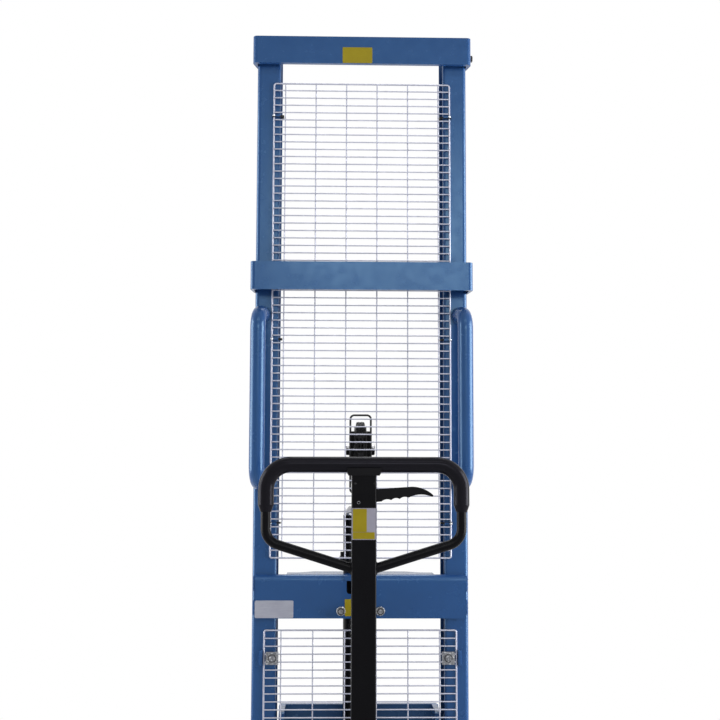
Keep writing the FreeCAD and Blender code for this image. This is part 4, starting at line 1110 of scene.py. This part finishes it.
def fit_clip_straps():
    """Painted straps over the outer ends of the guard clips."""
    inner_x = 0.187
    outer_x = clip_hi.x + press_in
    thickness = 0.0005
    edge = 0.0002
    hook_face = clip_lo.y + 0.0030
    half = clip_half + press_in
    bm = bmesh.new()
    for side in SIDES:
        x_ends = sorted((side * inner_x, side * outer_x))
        for z in clip_heights:
            lo = Vector((x_ends[0], hook_face - thickness, z - half))
            hi = Vector((x_ends[1], hook_face + press_in, z + half))
            add_block(bm, lo, hi, edge, segments=1)
    new_piece("guard_clip_straps", bm, "frame", "blue_paint")


def fit_slot_lip():
    """Lip over the opening in the cross member."""
    half = 0.037
    low, high = 0.7465, 0.7575
    stand_out, depth = 0.0015, 0.0090
    edge = 0.0020
    bm = bmesh.new()
    lo = Vector((-half, cross_lo.y - stand_out, low))
    hi = Vector((half, cross_lo.y + depth, high))
    add_block(bm, lo, hi, edge)
    new_piece("slot_lip", bm, "frame", "blue_paint")


def fit_ram_clips():
    """Retaining rings on the pulley pin."""
    wire = 0.0008
    clearance = 0.0006
    bm = bmesh.new()
    centre = middle(pin_lo, pin_hi)
    radius = (pin_hi.z - pin_lo.z) / 2 + clearance
    for side in SIDES:
        add_ring(bm, Vector((side * (pin_hi.x - wire), centre.y, centre.z)), X_AXIS, radius, wire)
    new_piece("pulley_pin_clips", bm, "ram", "bright_steel")


def add_pin_ends(bm, lo, hi, wall):
    """Retaining ring and washer at both ends of a pin across the truck."""
    ring_inset, ring_clearance, ring_wire = 0.0024, 0.0008, 0.0010
    washer_gap, washer_thickness = 0.0016, 0.0015
    edge = 0.0003
    centre = middle(lo, hi)
    radius = (hi.z - lo.z) / 2
    for side in SIDES:
        out = X_AXIS * side
        place = Vector((side * (hi.x - ring_inset), centre.y, centre.z))
        add_ring(bm, place, X_AXIS, radius + ring_clearance, ring_wire)
        face = place - out * washer_gap
        add_bar(bm, face - out * washer_thickness, face, radius + wall, edge=edge)


def fit_steering_trim():
    """Rings on the wheel axle and the pivot pin, and bolts, plugs and valve of the pump."""
    axle_wall, pivot_wall = 0.0030, 0.0018
    flange_top = pump_lo.z + 0.040
    flange_x = 0.049
    flange_rows = (king_y - 0.066, king_y + 0.053)
    port_z = pump_lo.z + 0.020
    valve = Vector((0.034, pump_lo.y, port_z))
    spindle_length, spindle_radius, spindle_edge = 0.016, 0.0045, 0.0005
    bm = bmesh.new()
    add_pin_ends(bm, axle_lo, axle_hi, axle_wall)
    add_pin_ends(bm, pivot_lo, pivot_hi, pivot_wall)
    for side in SIDES:
        for y in flange_rows:
            add_bolt(bm, Vector((side * flange_x, y, flange_top)), Z_AXIS, *flange_bolt)
    add_bolt(bm, Vector((pump_hi.x, king_lo.y, port_z)), X_AXIS, *port_plug)
    add_bolt(bm, Vector((pump_lo.x, king_lo.y, port_z)), -X_AXIS, *port_plug)
    add_bolt(bm, valve, -Y_AXIS, *valve_bolt)
    add_bar(bm, valve, valve - Y_AXIS * spindle_length, spindle_radius, edge=spindle_edge)
    new_piece("steering_fasteners", bm, "steering", "zinc_steel")


def fit_wheel_seals():
    """Bearing seals and inner races on both faces of each steer hub."""
    steps = 48
    centre = middle(hub_lo, hub_hi)
    for side, label in zip(SIDES, ("left", "right")):
        seals = bmesh.new()
        races = bmesh.new()
        for x in (hub_lo.x, hub_hi.x):
            face = Vector((side * x, centre.y, centre.z))
            add_ring(seals, face, X_AXIS, *seal_ring, steps=steps)
            add_ring(races, face, X_AXIS, *race_ring, steps=steps)
        body = "steer_wheel_" + label
        new_piece("bearing_seals_" + label, seals, body, "black_plastic")
        new_piece("bearing_races_" + label, races, body, "bright_steel")


def fit_grease_nipples():
    """Grease nipples on both sides of the king pin bush."""
    sink = 0.0005
    drop = 0.026
    hex_length, hex_radius, hex_edge = 0.006, 0.0040, 0.0004
    neck_length, neck_radius, neck_edge = 0.010, 0.0022, 0.0003
    ball_radius, ball_height = 0.0028, 0.0030
    bm = bmesh.new()
    for side in SIDES:
        out = X_AXIS * side
        seat = Vector((side * (bush_radius - sink), king_y, king_top - drop))
        neck_end = seat + out * neck_length
        add_bar(bm, seat, seat + out * hex_length, hex_radius, sides=6, edge=hex_edge)
        add_bar(bm, seat, neck_end, neck_radius, edge=neck_edge)
        add_dome(bm, neck_end, out, ball_radius, ball_height)
    new_piece("grease_nipples", bm, "frame", "zinc_steel")


def fit_roller_pin_caps():
    """Flat heads of the mast roller pins on the inner faces of the carriage plates."""
    plate_inner_x = 0.168
    height, radius, edge = 0.0018, 0.016, 0.0005
    bm = bmesh.new()
    for label in ("low", "high"):
        lo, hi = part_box("mast_roller_%s_right" % label)
        centre = middle(lo, hi)
        for side in SIDES:
            inward = X_AXIS * -side
            seat = Vector((side * plate_inner_x, centre.y, centre.z))
            add_bar(bm, seat - inward * press_in, seat + inward * height, radius, edge=edge)
    new_piece("roller_pin_heads", bm, "carriage", "zinc_steel")


def fit_anchor_bolts():
    """Chain anchor pins on the frame and on the carriage."""
    z = middle(anchor_lo, anchor_hi).z
    for name, body, y in (
        ("rear_anchor_bolts", "frame", middle(rear_lo, rear_hi).y),
        ("front_anchor_bolts", "carriage", middle(front_lo, front_hi).y),
    ):
        bm = bmesh.new()
        for side in SIDES:
            add_bolt(bm, Vector((side * anchor_hi.x, y, z)), X_AXIS * side, *anchor_bolt)
        new_piece(name, bm, body, "zinc_steel")


def fit_bleed_screw():
    """Bleed screw on the lift cylinder."""
    height = 0.790
    sink = 0.001
    boss_length, boss_radius, boss_edge = 0.009, 0.007, 0.0006
    screw_out, screw_radius, screw_edge = 0.004, 0.0035, 0.0005
    screw_low, screw_high = 0.004, 0.016
    bm = bmesh.new()
    centre = middle(barrel_lo, barrel_hi)
    barrel_radius = centre.y - barrel_lo.y
    seat = Vector((sink - barrel_radius, centre.y, height))
    add_bar(bm, seat, seat - X_AXIS * boss_length, boss_radius, edge=boss_edge)
    foot, top = (seat + Vector((-screw_out, 0, rise)) for rise in (screw_low, screw_high))
    add_bar(bm, foot, top, screw_radius, edge=screw_edge)
    new_piece("cylinder_bleed_screw", bm, "frame", "black_steel")


# Studio

def add_seen_rays(tree):
    """One for rays sent out by the camera, by a reflection or through a clear piece."""
    light_path = tree.nodes.new("ShaderNodeLightPath").outputs
    seen = light_path["Is Camera Ray"]
    for label in ("Is Glossy Ray", "Is Transmission Ray"):
        seen = add_math(tree, "MAXIMUM", seen, light_path[label])
    return seen


def floor_finish():
    """Pale floor that runs out into the white surround."""
    material = bpy.data.materials.new("pale_floor")
    material.use_nodes = True
    tree = material.node_tree
    shader = tree.nodes["Principled BSDF"]
    shader.inputs["Base Color"].default_value = floor_colour
    shader.inputs["Roughness"].default_value = floor_roughness
    white = tree.nodes.new("ShaderNodeEmission")
    white.inputs["Color"].default_value = white_surround
    white.inputs["Strength"].default_value = white_level
    reach = tree.nodes.new("ShaderNodeVectorMath")
    reach.operation = "LENGTH"
    tree.links.new(tree.nodes.new("ShaderNodeTexCoord").outputs["Object"], reach.inputs[0])
    outer = add_range(tree, reach.outputs["Value"], *floor_fade)
    share = add_math(tree, "MULTIPLY", outer, add_seen_rays(tree))
    mix_shaders(tree, share, shader, white, "Material Output")
    return material


def make_floor():
    """Pale round floor under the truck."""
    bm = bmesh.new()
    bmesh.ops.create_circle(bm, cap_ends=True, segments=floor_sides, radius=floor_radius)
    mesh = bpy.data.meshes.new("studio_floor")
    bm.to_mesh(mesh)
    bm.free()
    mesh.materials.append(floor_finish())
    floor = bpy.data.objects.new("studio_floor", mesh)
    bpy.context.scene.collection.objects.link(floor)


def make_world():
    """White surround for the camera and for reflections, softer for the rest."""
    world = bpy.data.worlds.new("white_studio")
    bpy.context.scene.world = world
    world.use_nodes = True
    tree = world.node_tree
    ambient = tree.nodes["Background"]
    white = tree.nodes.new("ShaderNodeBackground")
    for background, level in ((ambient, ambient_level), (white, white_level)):
        background.inputs["Color"].default_value = white_surround
        background.inputs["Strength"].default_value = level
    mix_shaders(tree, add_seen_rays(tree), ambient, white, "World Output")


def make_lamp(name, place, level, width, height):
    """Soft box that lights the truck to a share of the plain level."""
    lamp = bpy.data.lights.new(name, "AREA")
    lamp.shape = "RECTANGLE"
    lamp.size = width
    lamp.size_y = height
    to_target = lamp_target - place
    lamp.energy = level * math.pi ** 2 * to_target.length_squared
    holder = bpy.data.objects.new(name, lamp)
    bpy.context.scene.collection.objects.link(holder)
    turn = to_target.to_track_quat("-Z", "Y").to_matrix().to_4x4()
    holder.matrix_world = Matrix.Translation(place) @ turn


def make_lights():
    """Soft boxes on both sides, in front and above."""
    for name, lamp in lamps.items():
        make_lamp(name, *lamp)


def make_camera():
    """Camera at the photograph's place."""
    camera = bpy.data.cameras.new("photo_camera")
    camera.lens = camera_lens
    camera.sensor_width = sensor_width
    camera.shift_x = shift_pixels[0] / frame_pixels
    camera.shift_y = shift_pixels[1] / frame_pixels
    right = Vector((math.cos(camera_yaw), -math.sin(camera_yaw), 0))
    level = Vector((math.sin(camera_yaw), math.cos(camera_yaw), 0))
    forward = level * math.cos(camera_pitch) + Z_AXIS * math.sin(camera_pitch)
    up = Z_AXIS * math.cos(camera_pitch) - level * math.sin(camera_pitch)
    rolled_right = right * math.cos(camera_roll) + up * math.sin(camera_roll)
    rolled_up = up * math.cos(camera_roll) - right * math.sin(camera_roll)
    turn = Matrix((rolled_right, rolled_up, -forward)).transposed().to_4x4()
    holder = bpy.data.objects.new("photo_camera", camera)
    bpy.context.scene.collection.objects.link(holder)
    holder.matrix_world = Matrix.Translation(camera_place) @ turn
    bpy.context.scene.camera = holder


dress_cad_nodes()
frame_welds()
tiller_welds()
carriage_welds()
fit_chains()
fit_spring()
fit_bare_plates()
fit_tiller_trim()
fit_frame_bolts()
fit_stop_bolt()
fit_clamp_lugs()
fit_painted_shadow_rings()
fit_bright_rims()
fit_clip_straps()
fit_slot_lip()
fit_ram_clips()
fit_steering_trim()
fit_wheel_seals()
fit_grease_nipples()
fit_roller_pin_caps()
fit_anchor_bolts()
fit_bleed_screw()
make_floor()
make_world()
make_lights()
make_camera()
bpy.context.scene.view_settings.view_transform = "Standard"
